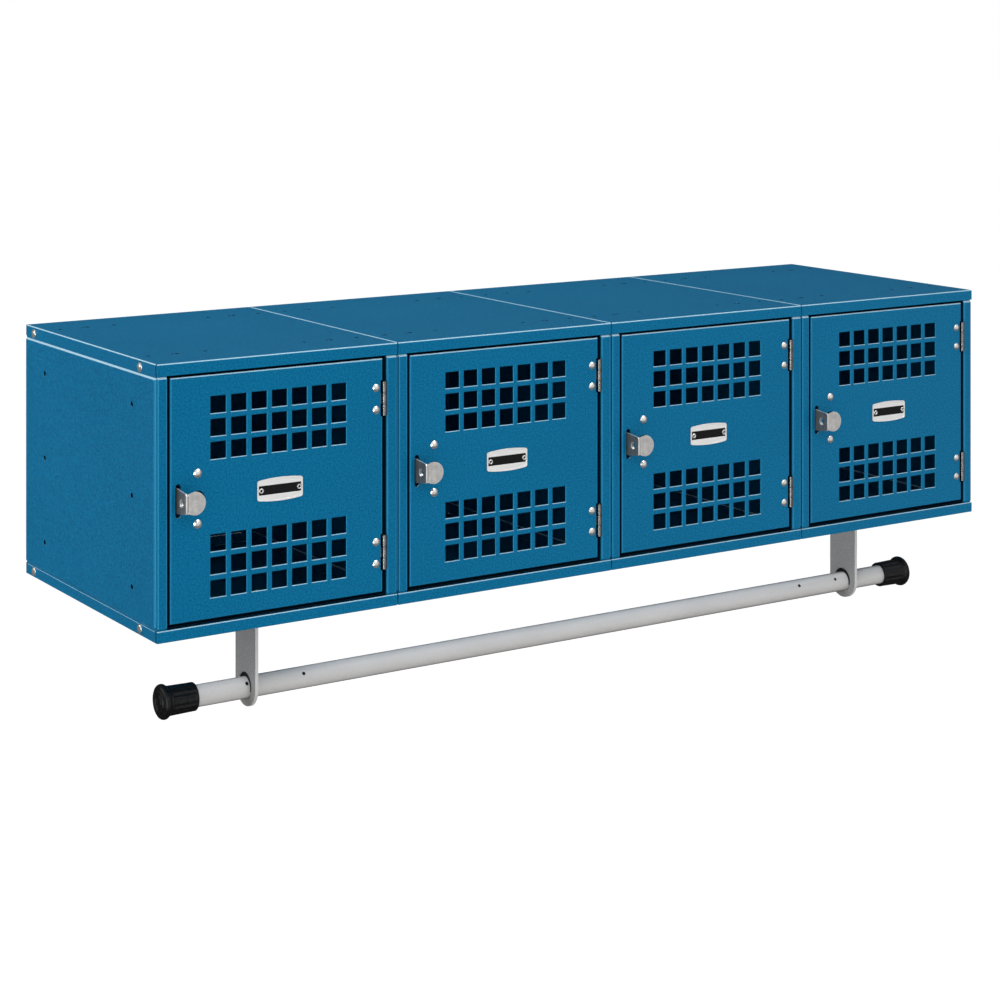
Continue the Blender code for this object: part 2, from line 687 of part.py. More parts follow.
def build():
    clear_scene()
    low_hinge, high_hinge = HINGE_HEIGHTS
    blue, nickel = "blue_powder_coat", "nickel_plate"
    fixed = {
        "top_pan": finish_mesh(top_pan(), blue),
        "bottom_pan": finish_mesh(bottom_pan(), blue),
        "side_left": finish_mesh(side_panel(False), blue),
        "side_right": finish_mesh(side_panel(True), blue),
        "door_frame": finish_mesh(door_frame(), blue),
        "hinge_lower_frame_leaf": finish_mesh(frame_leaf(low_hinge), nickel),
        "hinge_upper_frame_leaf": finish_mesh(frame_leaf(high_hinge), nickel),
        "padlock_eye": finish_mesh(padlock_eye(), nickel),
    }
    swinging = {
        "door": finish_mesh(door(), blue),
        "hinge_lower_door_leaf": finish_mesh(door_leaf(low_hinge), nickel),
        "hinge_upper_door_leaf": finish_mesh(door_leaf(high_hinge), nickel),
        "door_pull": finish_mesh(door_pull(), nickel),
        "number_plate": finish_mesh(number_plate(), nickel),
    }
    for i in range(BOXES):
        corner = box_corner(i)
        axis = axis_empty(f"door_axis_{i + 1}", corner + Vector((HINGE_X, 0, DOOR_MID_Z)))
        for name, mesh in fixed.items():
            put(f"{name}_{i + 1}", mesh, corner)
        for name, mesh in swinging.items():
            put(f"{name}_{i + 1}", mesh, corner, parent=axis)
    put("back_panel", finish_mesh(back_panel(), blue), (0, 0, 0))

    bracket = finish_mesh(rod_bracket(), "bracket_paint")
    for name, i in (("rod_bracket_left", 0), ("rod_bracket_right", BOXES - 1)):
        put(name, bracket, box_corner(i) + Vector((BAR_X, 0, 0)))
    rod_axis = axis_empty("rod_axis", (ROD_SHIFT, ROD_Y - DEPTH, ROD_Z - HEIGHT / 2))
    put("hang_rod", finish_mesh(rod_tube(), "rod_paint"), rod_axis.location, parent=rod_axis)
    cap = finish_mesh(rod_cap(), "black_rubber")
    reach = ROD_LENGTH / 2 + CAP_END_WALL + CLEAR
    for name, side in (("rod_cap_left", -1), ("rod_cap_right", 1)):
        place = rod_axis.location + Vector((side * reach, 0, 0))
        put(name, cap, place, parent=rod_axis, spun=side > 0)


build()
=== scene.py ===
"""The looks of a wall locker: four sheet-steel boxes in a row, with vented doors and a coat rod underneath.

Most pieces stand for one CAD node; rivets, screws, black strips that paint the shade in the rod brackets'
holes and plate panels are looks only. One box is modelled once, in its own frame, with x from its left side,
y from its front plane towards the wall and z from its underside, and its meshes are shared by all boxes.
"""

import math

import bmesh
import bpy
from mathutils import Matrix, Vector


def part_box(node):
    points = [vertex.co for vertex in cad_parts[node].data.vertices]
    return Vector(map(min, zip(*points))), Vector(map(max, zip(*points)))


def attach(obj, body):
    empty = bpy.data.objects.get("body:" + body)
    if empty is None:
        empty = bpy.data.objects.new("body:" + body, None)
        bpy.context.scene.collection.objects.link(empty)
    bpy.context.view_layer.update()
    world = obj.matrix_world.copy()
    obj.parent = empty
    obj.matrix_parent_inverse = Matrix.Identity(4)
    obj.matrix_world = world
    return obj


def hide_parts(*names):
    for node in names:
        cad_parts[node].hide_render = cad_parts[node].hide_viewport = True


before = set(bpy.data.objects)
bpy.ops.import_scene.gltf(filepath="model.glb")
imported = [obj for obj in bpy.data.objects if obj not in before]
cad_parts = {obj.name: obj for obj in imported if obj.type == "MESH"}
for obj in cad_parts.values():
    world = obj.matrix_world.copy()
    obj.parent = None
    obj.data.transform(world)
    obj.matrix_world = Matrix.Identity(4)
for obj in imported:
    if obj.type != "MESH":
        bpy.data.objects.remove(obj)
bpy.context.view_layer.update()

MM = 0.001
INCH = 0.0254
SMALL = 0.01 * MM

# ---- sizes read from the frame

BOXES = sum(1 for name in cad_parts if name.startswith("door_frame_"))
pan_low, pan_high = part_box("bottom_pan_1")
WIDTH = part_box("bottom_pan_2")[0].x - pan_low.x
PAN_GAP = (WIDTH - (pan_high.x - pan_low.x)) / 2
CORNER = Vector((pan_low.x - PAN_GAP, pan_low.y, pan_low.z))
DEPTH = pan_high.y - pan_low.y
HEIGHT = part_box("top_pan_1")[1].z - pan_low.z
FLANGE = pan_high.z - pan_low.z


def local(node):
    """Lowest and highest corner of a CAD node of the first box, in the box's own frame."""
    low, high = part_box(f"{node}_1")
    return low - CORNER, high - CORNER


DOOR = local("door")
FRAME = local("door_frame")
SIDE = local("side_left")
EYE = local("padlock_eye")
PULL = local("door_pull")
HINGE = local("hinge_upper_frame_leaf")
LOW_HINGE = local("hinge_lower_frame_leaf")
DOOR_LEAF = local("hinge_upper_door_leaf")
PLATE = local("number_plate")

PAN_SHEET = 1.2 * MM
SHEET = 1.5 * MM
RIM = 0.22 * MM

LATCH_SHEET = 2.0 * MM
MID_X = (PLATE[0].x + PLATE[1].x) / 2
MID_Z = (PLATE[0].z + PLATE[1].z) / 2

KNUCKLE_RADIUS = 3.0 * MM
LEAF_SHEET = 1.2 * MM
PIN_RADIUS = 1.5 * MM
HINGE_X = HINGE[1].x - KNUCKLE_RADIUS
HINGE_HALF = (HINGE[1].z - HINGE[0].z) / 2
KNUCKLE = 2 * HINGE_HALF / 3
KNUCKLE_PLAY = 0.45 * MM
HINGE_HEIGHTS = [(low.z + high.z) / 2 for low, high in (LOW_HINGE, HINGE)]
HINGE_RIVET = Vector((DOOR_LEAF[0].x + 8.0 * MM, 0, 0.5 * INCH))
PULL_RIVET = Vector((PULL[1].x - 11.0 * MM, 0, (PULL[1].z - PULL[0].z) / 2 - 8.0 * MM))

# ---- mesh tools


def in_scene(name, data):
    """A new object in the scene."""
    obj = bpy.data.objects.new(name, data)
    bpy.context.scene.collection.objects.link(obj)
    return obj


def new_object(name, build):
    """An object whose mesh is filled by build(bm), with its faces turned out."""
    bm = bmesh.new()
    build(bm)
    bmesh.ops.recalc_face_normals(bm, faces=bm.faces)
    mesh = bpy.data.meshes.new(name)
    bm.to_mesh(mesh)
    bm.free()
    return in_scene(name, mesh)


def bake(obj):
    """Replaces the object's mesh with its evaluated one and drops its modifiers and cutters."""
    bpy.context.view_layer.update()
    graph = bpy.context.evaluated_depsgraph_get()
    mesh = bpy.data.meshes.new_from_object(obj.evaluated_get(graph))
    helpers = {m.object for m in obj.modifiers if m.type == "BOOLEAN"}
    obj.modifiers.clear()
    obj.data = mesh
    for helper in helpers:
        bpy.data.objects.remove(helper, do_unlink=True)
    return obj


def combine(obj, others, operation):
    for other in others:
        boolean = obj.modifiers.new(operation.lower(), "BOOLEAN")
        boolean.operation = operation
        boolean.object = other
    return bake(obj)


def weld(first, *others):
    return combine(first, others, "UNION")


def cut(obj, *cutters):
    return combine(obj, cutters, "DIFFERENCE")


def tidy(mesh):
    """Merges the points that Booleans leave together and joins faces that lie in one plane."""
    bm = bmesh.new()
    bm.from_mesh(mesh)
    bmesh.ops.remove_doubles(bm, verts=bm.verts, dist=SMALL)
    bmesh.ops.dissolve_limit(bm, angle_limit=math.radians(0.3), verts=bm.verts, edges=bm.edges)
    bm.to_mesh(mesh)
    bm.free()


def finish(obj, rim=RIM, steps=2, corner=38):
    """Rounds the sharp edges by rim, and returns the mesh with smooth shading up to the corner angle."""
    tidy(obj.data)
    if rim:
        bevel = obj.modifiers.new("rim", "BEVEL")
        bevel.width = rim
        bevel.segments = steps
        bevel.limit_method = "ANGLE"
        bevel.angle_limit = math.radians(corner)
        bake(obj)
    obj.data.shade_smooth()
    obj.data.set_sharp_from_angle(angle=math.radians(corner + 10))
    weighted = obj.modifiers.new("normals", "WEIGHTED_NORMAL")
    weighted.keep_sharp = True
    bake(obj)
    mesh = obj.data
    bpy.data.objects.remove(obj, do_unlink=True)
    return mesh


def second_material(mesh, first, second, is_second):
    """Gives the mesh two materials; is_second(face) picks the faces of the second one."""
    mesh.materials.append(first)
    mesh.materials.append(second)
    for face in mesh.polygons:
        face.material_index = int(is_second(face))
    return mesh


def add_block(bm, low, high):
    low, high = Vector(low), Vector(high)
    size = Matrix.Diagonal((*(high - low), 1.0))
    bmesh.ops.create_cube(bm, size=1.0, matrix=Matrix.Translation((low + high) / 2) @ size)


def add_loft(bm, outline, levels, place):
    """An outline of (u, v) points carried through the levels; place(u, v, w) gives the point in the box."""
    rings = [[bm.verts.new(place(u, v, w)) for u, v in outline] for w in levels]
    bm.faces.new(rings[0])
    bm.faces.new(list(reversed(rings[-1])))
    for a, b in zip(rings, rings[1:]):
        for i in range(len(outline)):
            j = (i + 1) % len(outline)
            bm.faces.new((a[i], b[i], b[j], a[j]))


def add_turned(bm, profile, sides, place, closed=False, swell=None):
    """A profile of (along, radius) points turned about the line place(0, 0, along).

    A closed profile makes a ring; an open one has flat ends, or pointed ones where its radius is 0.
    swell(along, radius, turn) may change the radius from point to point.
    """
    rings = []
    for along, radius in profile:
        if radius == 0:
            rings.append([bm.verts.new(place(0, 0, along))])
            continue
        ring = []
        for i in range(sides):
            turn = math.tau * (i + 0.5) / sides
            reach = swell(along, radius, turn) if swell else radius
            ring.append(bm.verts.new(place(reach * math.cos(turn), reach * math.sin(turn), along)))
        rings.append(ring)
    pairs = list(zip(rings, rings[1:]))
    if closed:
        pairs.append((rings[-1], rings[0]))
    for a, b in pairs:
        for i in range(sides):
            j = (i + 1) % sides
            corners = [a[i % len(a)], a[j % len(a)], b[j % len(b)], b[i % len(b)]]
            bm.faces.new(list(dict.fromkeys(corners)))
    if not closed:
        for ring in (rings[0], rings[-1]):
            if len(ring) > 1:
                bm.faces.new(ring)


def block(low, high):
    return new_object("block", lambda bm: add_block(bm, low, high))


def loft(outline, levels, place):
    return new_object("loft", lambda bm: add_loft(bm, outline, levels, place))


def prism(outline, start, end, place):
    return loft(outline, (start, end), place)


def turned(profile, sides, place, closed=False, swell=None):
    return new_object("turned", lambda bm: add_turned(bm, profile, sides, place, closed, swell))


def along_x(y, z):
    """Places (u, v, w) with w along x, around (y, z); the next two have w along y and along z."""
    return lambda u, v, w: (w, y + u, z + v)


def along_y(x, z):
    return lambda u, v, w: (x + u, w, z + v)


def along_z(x, y):
    return lambda u, v, w: (x + u, y + v, w)


def arc(centre, radius, start, end, steps):
    """Points on an arc, in degrees, both ends included."""
    angles = (math.radians(start + (end - start) * i / steps) for i in range(steps + 1))
    return [(centre[0] + radius * math.cos(a), centre[1] + radius * math.sin(a)) for a in angles]


def rectangle(u, v, far_u, far_v):
    return [(u, v), (far_u, v), (far_u, far_v), (u, far_v)]


def circle(radius, sides):
    return arc((0, 0), radius, 180 / sides, 360 + 180 / sides, sides)[:-1]


def stadium(width, height):
    """An upright slot outline with round ends."""
    radius = width / 2
    straight = height / 2 - radius
    return arc((0, straight), radius, 0, 180, 10) + arc((0, -straight), radius, 180, 360, 10)


def bent(points, radii, steps=4, closed=False):
    """The line through these points with each corner turned into an arc of its own radius."""
    line = []
    count = len(points)
    for i in range(count):
        here = Vector(points[i])
        if not closed and i in (0, count - 1):
            line.append(here)
            continue
        before = (Vector(points[i - 1]) - here).normalized()
        after = (Vector(points[(i + 1) % count]) - here).normalized()
        half = before.angle(after) / 2
        radius = radii[i] if isinstance(radii, (list, tuple)) else radii
        centre = here + (before + after).normalized() * (radius / math.sin(half))
        start = here + before * (radius / math.tan(half)) - centre
        end = here + after * (radius / math.tan(half)) - centre
        sweep = start.angle(end)
        for step in range(steps + 1):
            share = step / steps
            spoke = start * math.sin((1 - share) * sweep) + end * math.sin(share * sweep)
            line.append(centre + spoke / math.sin(sweep))
    return line


def inner_line(line, thickness):
    """The line's copy at the sheet's thickness to its left."""
    copy = []
    for i, here in enumerate(line):
        behind = here - line[i - 1] if i else line[1] - here
        ahead = line[i + 1] - here if i + 1 < len(line) else behind
        behind, ahead = behind.normalized(), ahead.normalized()
        tangent = (behind + ahead).normalized()
        normal = Vector((-tangent.y, tangent.x))
        copy.append(here + normal * (thickness / max(tangent.dot(ahead), 0.5)))
    return copy


def sheet_outline(line, thickness):
    """The closed outline of a bent sheet seen on its edge."""
    return list(line) + inner_line(line, thickness)[::-1]


def in_mm(pairs):
    return [(a * MM, b * MM) for a, b in pairs]


def ease(share):
    """A smooth step from 0 to 1."""
    share = min(max(share, 0.0), 1.0)
    return share * share * (3 - 2 * share)


def open_tray(low, high, sheet, open_side, bend):
    """A folded sheet tray with rounded bends round its base; open_side points out of the opening."""
    obj = block(low, high)
    bm = bmesh.new()
    bm.from_mesh(obj.data)
    bmesh.ops.recalc_face_normals(bm, faces=bm.faces)
    gone = [face for face in bm.faces if face.normal.dot(Vector(open_side)) > 0.9]
    bmesh.ops.delete(bm, geom=gone, context="FACES_ONLY")
    base = [face for face in bm.faces if face.normal.dot(Vector(open_side)) < -0.9]
    bmesh.ops.bevel(bm, geom=list(base[0].edges), offset=bend, segments=4, profile=0.5, affect="EDGES")
    bm.to_mesh(obj.data)
    bm.free()
    solidify = obj.modifiers.new("sheet", "SOLIDIFY")
    solidify.thickness = sheet
    solidify.offset = -1.0
    solidify.use_even_offset = True
    return bake(obj)


def repeated(centres, outline, levels, place_at):
    """One cutter with a loft at each centre; place_at(a, b) gives the place function of one."""

    def build(bm):
        for a, b in centres:
            add_loft(bm, outline, levels, place_at(a, b))

    return new_object("cutter", build)


# ---- materials


class Nodes:
    """A short way to write the node tree of a material or a world."""

    def __init__(self, owner, shader="Principled BSDF"):
        owner.use_nodes = True
        self.owner = owner
        self.tree = owner.node_tree
        self.shader = self.tree.nodes[shader]
        self.place = self.add("TexCoord")

    def add(self, kind, inputs=(), **settings):
        """Adds a node with these inputs and settings, and returns its outputs."""
        node = self.tree.nodes.new("ShaderNode" + kind)
        for key, value in settings.items():
            setattr(node, key, value)
        for key, value in dict(inputs).items():
            self.feed(node.inputs[key], value)
        return node.outputs

    def feed(self, socket, value):
        """Gives a socket a number, a vector, a colour or another node's output."""
        if isinstance(value, bpy.types.NodeSocket):
            self.tree.links.new(value, socket)
        else:
            socket.default_value = (*value, 1) if socket.type == "RGBA" else value

    def set(self, name, value):
        self.feed(self.shader.inputs[name], value)

    def noise(self, per_metre, detail=2.0, stretch=(1, 1, 1)):
        """Noise between 0 and 1 with this many cells to a metre."""
        place = self.add("Mapping", {"Vector": self.place["Object"], "Scale": stretch})["Vector"]
        return self.add("TexNoise", {"Vector": place, "Scale": per_metre, "Detail": detail})["Fac"]

    def ramp(self, source, low, high, start=0.35, end=0.65):
        """Turns a value into a colour between low and high."""
        colour = self.add("ValToRGB", {"Fac": source})["Color"]
        marks = colour.node.color_ramp.elements
        for mark, position, tone in zip(marks, (start, end), (low, high)):
            mark.position = position
            mark.color = (*tone, 1)
        return colour

    def mix(self, factor, a, b, blend="MIX"):
        """Mixes two colours."""
        return self.add("Mix", {0: factor, 6: a, 7: b}, data_type="RGBA", blend_type=blend)[2]

    def choose(self, factor, a, b):
        """Number a where the factor is 0, and b where it is 1."""
        return self.add("Mix", {0: factor, 2: a, 3: b})[0]

    def span(self, source, low, high, start=0.0, end=1.0, kind="LINEAR"):
        """Maps start..end to low..high."""
        inputs = {0: source, 1: start, 2: end, 3: low, 4: high}
        return self.add("MapRange", inputs, interpolation_type=kind)[0]

    def ease_between(self, source, start, end):
        """0 at start and 1 at end, with a smooth step between them."""
        return self.span(source, 0.0, 1.0, start, end, "SMOOTHSTEP")

    def bump(self, source, height, strength):
        """Bumps the surface by height metres."""
        inputs = {"Height": source, "Distance": height, "Strength": strength}
        self.set("Normal", self.add("Bump", inputs)["Normal"])

    def math(self, operation, a, b=0.0):
        return self.add("Math", {0: a, 1: b}, operation=operation)[0]

    def bends(self):
        """Masks of where a sheet turns, 0 on its flat faces, for painted highlights: all bends but low ones,
        and those facing up.
        """
        split = self.add("SeparateXYZ", {0: self.place["Normal"]})
        x, y, z = (self.math("ABSOLUTE", out) for out in split)
        flat = self.math("MAXIMUM", x, self.math("MAXIMUM", y, z))
        turning = self.ease_between(flat, 0.999, 0.975)
        level = self.ease_between(split[2], -0.45, -0.05)
        upward = self.ease_between(split[2], 0.10, 0.45)
        return self.math("MULTIPLY", turning, level), self.math("MULTIPLY", turning, upward)


BLUE_DARK = (0.0010, 0.112, 0.245)
BLUE_LIGHT = (0.0050, 0.205, 0.415)
# The next two are painted highlights: lighter blue for the bends, near white blue for the bends that face
# up.
BLUE_BEND_HIGHLIGHT = (0.040, 0.330, 0.590)
BLUE_RIDGE_HIGHLIGHT = (0.600, 0.840, 0.950)
BLUE_SHEEN = (0.06, 0.60, 1.0)


def powder_coat():
    """Blue powder coat: fine orange peel, a slight speckle, and painted highlights in lighter blue on the
    bends, lightest on those that face up.
    """
    nodes = Nodes(bpy.data.materials.new("blue_powder_coat"))
    speckle = nodes.ramp(nodes.noise(480, 2.0), BLUE_DARK, BLUE_LIGHT, 0.3, 0.7)
    cloud = nodes.ramp(nodes.noise(5, 2.0), (0.93, 0.95, 0.96), (1.0, 1.0, 1.0))
    coat = nodes.mix(1.0, speckle, cloud, "MULTIPLY")
    # painted highlights on the bends, strongest on those that face up
    bend, upward = nodes.bends()
    coat = nodes.mix(nodes.math("MULTIPLY", bend, 0.5), coat, BLUE_BEND_HIGHLIGHT)
    coat = nodes.mix(nodes.math("MULTIPLY", upward, 0.75), coat, BLUE_RIDGE_HIGHLIGHT)
    nodes.set("Base Color", coat)
    nodes.set("Roughness", nodes.span(nodes.noise(500, 2.0), 0.30, 0.40))
    nodes.set("Specular IOR Level", 0.35)
    nodes.set("Specular Tint", BLUE_SHEEN)
    nodes.bump(nodes.noise(650, 2.0), 0.06 * MM, 0.55)
    return nodes.owner


def surface(name, colour, low, high, gloss, roughness, bumps, height, strength=0.5, metallic=0.0,
            specular=0.5, spread=0.15):
    """A material whose colour, roughness and bump each follow a noise, given by its arguments."""
    nodes = Nodes(bpy.data.materials.new(name))
    nodes.set("Base Color", nodes.ramp(nodes.noise(*colour), low, high, 0.5 - spread, 0.5 + spread))
    nodes.set("Metallic", metallic)
    nodes.set("Roughness", nodes.span(nodes.noise(*gloss), *roughness))
    nodes.set("Specular IOR Level", specular)
    nodes.bump(nodes.noise(*bumps), height, strength)
    return nodes.owner


def shade_coat(name, low, high):
    """A darker copy of the blue coat, painted shade for the walls of holes and the returns round a door."""
    return surface(name, (700,), low, high, (500,), (0.5, 0.7), (650,), 0.04 * MM, specular=0.1)


def nickel(name="nickel_plate", tone=1.0, metallic=0.4, roughness=0.37):
    """Dull nickel plate: a warm grey metal with fine drawn lines and a few cloudy patches."""
    low = tuple(tone * c for c in (0.42, 0.415, 0.405))
    high = tuple(tone * c for c in (0.60, 0.59, 0.575))
    gloss = (roughness - 0.07, roughness + 0.07)
    return surface(name, (160, 3.0), low, high, (900, 2.0, (1, 1, 0.15)), gloss,
                   (1500, 1.0, (1, 1, 0.2)), 0.01 * MM, metallic=metallic, spread=0.2)


def paint(name, low, high, roughness, rim=0.0):
    """Smooth grey paint with a fine grain; rim paints shade on it where it turns away from the eye."""
    nodes = Nodes(bpy.data.materials.new(name))
    grain = nodes.ramp(nodes.noise(1300, 1.0), low, high, 0.3, 0.7)
    cloud = nodes.ramp(nodes.noise(12, 2.0), (0.95, 0.95, 0.95), (1.0, 1.0, 1.0))
    coat = nodes.mix(1.0, grain, cloud, "MULTIPLY")
    # painted shade towards the outline, as strong as rim
    away = nodes.ease_between(nodes.add("LayerWeight")["Facing"], 0.45, 0.95)
    nodes.set("Base Color", nodes.mix(nodes.math("MULTIPLY", away, rim), coat, (0.02, 0.02, 0.02)))
    nodes.set("Specular IOR Level", 0.5 - 0.35 * rim)
    nodes.set("Roughness", nodes.span(nodes.noise(400, 2.0), roughness - 0.05, roughness + 0.06))
    nodes.bump(nodes.noise(700, 2.0), 0.03 * MM, 0.4)
    return nodes.owner


def floor_paper():
    """The plain pale ground."""
    nodes = Nodes(bpy.data.materials.new("pale_floor"))
    nodes.set("Base Color", nodes.ramp(nodes.noise(3, 2.0), (0.90, 0.90, 0.90), (0.93, 0.93, 0.93)))
    nodes.set("Roughness", 0.9)
    nodes.set("Specular IOR Level", 0.1)
    nodes.set("Emission Color", (1, 1, 1))
    seen = nodes.add("LightPath")["Is Camera Ray"]
    nodes.set("Emission Strength", nodes.span(seen, 0.0, FLOOR_GLOW))
    return nodes.owner


BLUE = powder_coat()
# painted shade: darker copies of the blue coat for the walls of holes and for the returns round the doors
HOLE_WALL_SHADE = shade_coat("hole_painted_shade", (0.0004, 0.008, 0.018), (0.001, 0.016, 0.034))
RETURN_SHADE = shade_coat("return_painted_shade", (0.0006, 0.022, 0.052), (0.001, 0.034, 0.078))
NICKEL = nickel()
# Lit and shaded copies of the nickel: the eye's faces darker as painted shade, the latch parts' edges
# lighter as a painted highlight.
EYE_SHADED_NICKEL = nickel("eye_nickel_painted_shade", 0.42)
EDGE_LIT_NICKEL = nickel("edge_nickel_painted_highlight", 1.4)
HINGE_METAL = nickel("hinge_nickel", 0.30, 1.0, 0.24)
BRIGHT = surface("polished_nickel", (200,), (0.56, 0.55, 0.53), (0.72, 0.71, 0.68),
                 (700,), (0.2, 0.3), (1200, 1.0), 0.003 * MM, 0.3, metallic=0.7)
BRUSHED = (1400, 2.0, (0.05, 1, 1))
PLATE_METAL = surface("plate_silver", BRUSHED, (0.80, 0.80, 0.79), (0.94, 0.94, 0.93),
                      BRUSHED, (0.32, 0.45), BRUSHED, 0.01 * MM, metallic=0.25)
BRACKET = paint("bracket_paint", (0.170, 0.168, 0.165), (0.330, 0.326, 0.320), 0.45)
# a lighter copy of the bracket paint for the bar's edges: a painted highlight
LIT_EDGE_PAINT = paint("bracket_edge_painted_highlight", (0.48, 0.48, 0.47), (0.60, 0.60, 0.59), 0.40)
# rim 0.8 paints shade on the rod where it turns away from the eye
ROD_PAINT = paint("rod_paint", (0.50, 0.49, 0.48), (0.57, 0.56, 0.55), 0.42, 0.8)
# near black for the inside of the tube: painted shade seen through the cross holes
TUBE_INSIDE_SHADE = paint("tube_inside_painted_shade", (0.030, 0.029, 0.028), (0.055, 0.053, 0.050), 0.6)
RUBBER = surface("black_rubber", (250, 4.0), (0.004, 0.004, 0.0042), (0.012, 0.012, 0.0125),
                 (300, 3.0), (0.34, 0.5), (600, 3.0), 0.05 * MM, specular=0.2)
ENAMEL = surface("black_enamel", (900,), (0.002, 0.002, 0.002), (0.006, 0.006, 0.007),
                 (500,), (0.35, 0.5), (800,), 0.02 * MM, 0.4, specular=0.15)

# ---- sheet parts of one box

PAN_BEND = 1.4 * MM
CORNER_SLOT = 3.6 * MM
FLANGE_EASE = 0.9 * MM
CORNER_LAP = 0.45 * MM
PUNCH_RADIUS = 2.7 * MM
SMALL_PUNCH_RADIUS = 1.89 * MM
PUNCH_EDGES = (19 * MM, 54 * MM, 89 * MM)
PUNCH_ROWS = (63.5 * MM, DEPTH - 63.5 * MM)
KEY_STEP = 5.4 * MM


def corner_slots(low_z, high_z):
    """Cutters that open a pan's four vertical corners: the side flange ends short of the front one."""
    lap = PAN_GAP + CORNER_LAP
    inside = PAN_GAP + PAN_SHEET + 0.5 * MM
    behind = PAN_SHEET + 0.05 * MM
    outline = [(-MM, -MM), (lap, -MM), (lap, behind), (inside, behind), (inside, CORNER_SLOT),
               (-MM, CORNER_SLOT)]
    corners = [(mirrored, back) for mirrored in (False, True) for back in (False, True)]
    return repeated(corners, outline, (low_z, high_z), lambda mirrored, back: (
        lambda u, v, w: (WIDTH - u if mirrored else u, DEPTH - v if back else v, w)))


def punched_holes():
    """Cutters for two rows of round holes in a top pan, the middle ones with a small hole beside them."""
    reach = (HEIGHT - 4 * MM, HEIGHT + MM)
    large = [(x, y) for y in PUNCH_ROWS for edge in PUNCH_EDGES for x in (edge, WIDTH - edge)]
    small = [(x - KEY_STEP, y) for y in PUNCH_ROWS for x in (PUNCH_EDGES[1], WIDTH - PUNCH_EDGES[1])]
    return [repeated(large, circle(PUNCH_RADIUS, 20), reach, along_z),
            repeated(small, circle(SMALL_PUNCH_RADIUS, 16), reach, along_z)]


def top_pan():
    low, high = (PAN_GAP, 0, HEIGHT - FLANGE), (WIDTH - PAN_GAP, DEPTH, HEIGHT)
    pan = open_tray(low, high, PAN_SHEET, (0, 0, -1), PAN_BEND)
    pan = cut(pan, corner_slots(HEIGHT - FLANGE - MM, HEIGHT + MM))
    mesh = finish(cut(pan, *punched_holes()))
    margin = PUNCH_EDGES[0] - 2 * PUNCH_RADIUS
    # the walls of the punched holes take the darker copy of the coat, as painted shade
    return second_material(mesh, BLUE, HOLE_WALL_SHADE, lambda face: (
        abs(face.normal.z) < 0.5 and margin < face.center.x < WIDTH - margin
        and margin < face.center.y < DEPTH - margin))


def flange_eases():
    """Cutters that take a slope off the upper outer edges of a bottom pan's front and side flanges."""
    over = 0.2 * MM
    slope = [(-over, FLANGE - FLANGE_EASE - over), (FLANGE_EASE + over, FLANGE + over + 0.05 * MM),
             (-over, FLANGE + MM)]
    right = WIDTH - PAN_GAP
    return [
        prism(slope, -MM, WIDTH + MM, along_x(0, 0)),
        prism(slope, 6 * MM, DEPTH - 6 * MM, lambda u, v, w: (PAN_GAP + u, w, v)),
        prism(slope, 6 * MM, DEPTH - 6 * MM, lambda u, v, w: (right - u, w, v)),
    ]


def bottom_pan():
    """The lower folded tray, flanges up, with the bolt holes of a rod bracket."""
    pan = open_tray((PAN_GAP, 0, 0), (WIDTH - PAN_GAP, DEPTH, FLANGE), PAN_SHEET, (0, 0, 1), PAN_BEND)
    pan = cut(pan, *flange_eases())
    pan = cut(pan, corner_slots(-MM, FLANGE + MM))
    bolts = [(BOLT_X, y) for y in BOLT_YS]
    cutter = repeated(bolts, circle(BOLT_RADIUS + 0.3 * MM, 20), (-MM, 2 * PAN_SHEET), along_z)
    return finish(cut(pan, cutter), 0.55 * MM, 3)


SIDE_FACE = PAN_GAP + 0.1 * MM
SIDE_FRONT = 3.7 * MM
SIDE_BEND = 2.6 * MM
SIDE_HOLE = 3.0 * MM
SIDE_HOLE_Z = 151.4 * MM
JOGGLE = 2.6 * MM
JOGGLE_GAP = 1.5 * MM
JOGGLE_STEPS = 6


def joggle_levels(low, high, start, end):
    """Heights for a sheet that steps back near both ends, close together where it turns."""
    ramp = [start + JOGGLE * i / JOGGLE_STEPS for i in range(JOGGLE_STEPS + 1)]
    return [low] + ramp + [end + start - w for w in reversed(ramp)] + [high]


def flush(w, start, end):
    """0 where the sheet is stepped back at its ends, 1 along the rest of its height."""
    return ease((w - start) / JOGGLE) * ease((end - w) / JOGGLE)


def side_panel(mirrored):
    """A folded side that lies flush with the pans' flanges and steps in to pass behind them."""
    step = SIDE[0].x - SIDE_FACE
    fold = SIDE[1].x - step
    back = SIDE[1].y
    corners = [(fold, SIDE_FRONT), (SIDE_FACE, SIDE_FRONT), (SIDE_FACE, back), (fold, back)]
    line = bent(corners, SIDE_BEND, 6)
    outline = sheet_outline(line[::-1], -PAN_SHEET)
    start, end = FLANGE + JOGGLE_GAP, HEIGHT - FLANGE - JOGGLE_GAP

    def place(u, v, w):
        x = u + step * (1 - flush(w, start, end))
        return (WIDTH - x if mirrored else x, v, w)

    panel = loft(outline, joggle_levels(SIDE[0].z, SIDE[1].z, start, end), place)
    centres = [
        (DEPTH / 2 + run, SIDE_HOLE_Z + rise)
        for run in (-5 * INCH, 5 * INCH)
        for rise in (-4 * INCH, 0, 4 * INCH)
    ]
    reach = (WIDTH - 6 * MM, WIDTH + MM) if mirrored else (-MM, 6 * MM)
    mesh = finish(cut(panel, repeated(centres, circle(SIDE_HOLE, 20), reach, along_x)), 0.15 * MM)
    low, high = 2 * FLANGE, HEIGHT - 2 * FLANGE
    # the walls of the side holes take the darker copy of the coat, as painted shade
    return second_material(mesh, BLUE, HOLE_WALL_SHADE, lambda face: (
        abs(face.normal.x) < 0.5 and low < face.center.z < high and INCH < face.center.y < DEPTH - INCH))


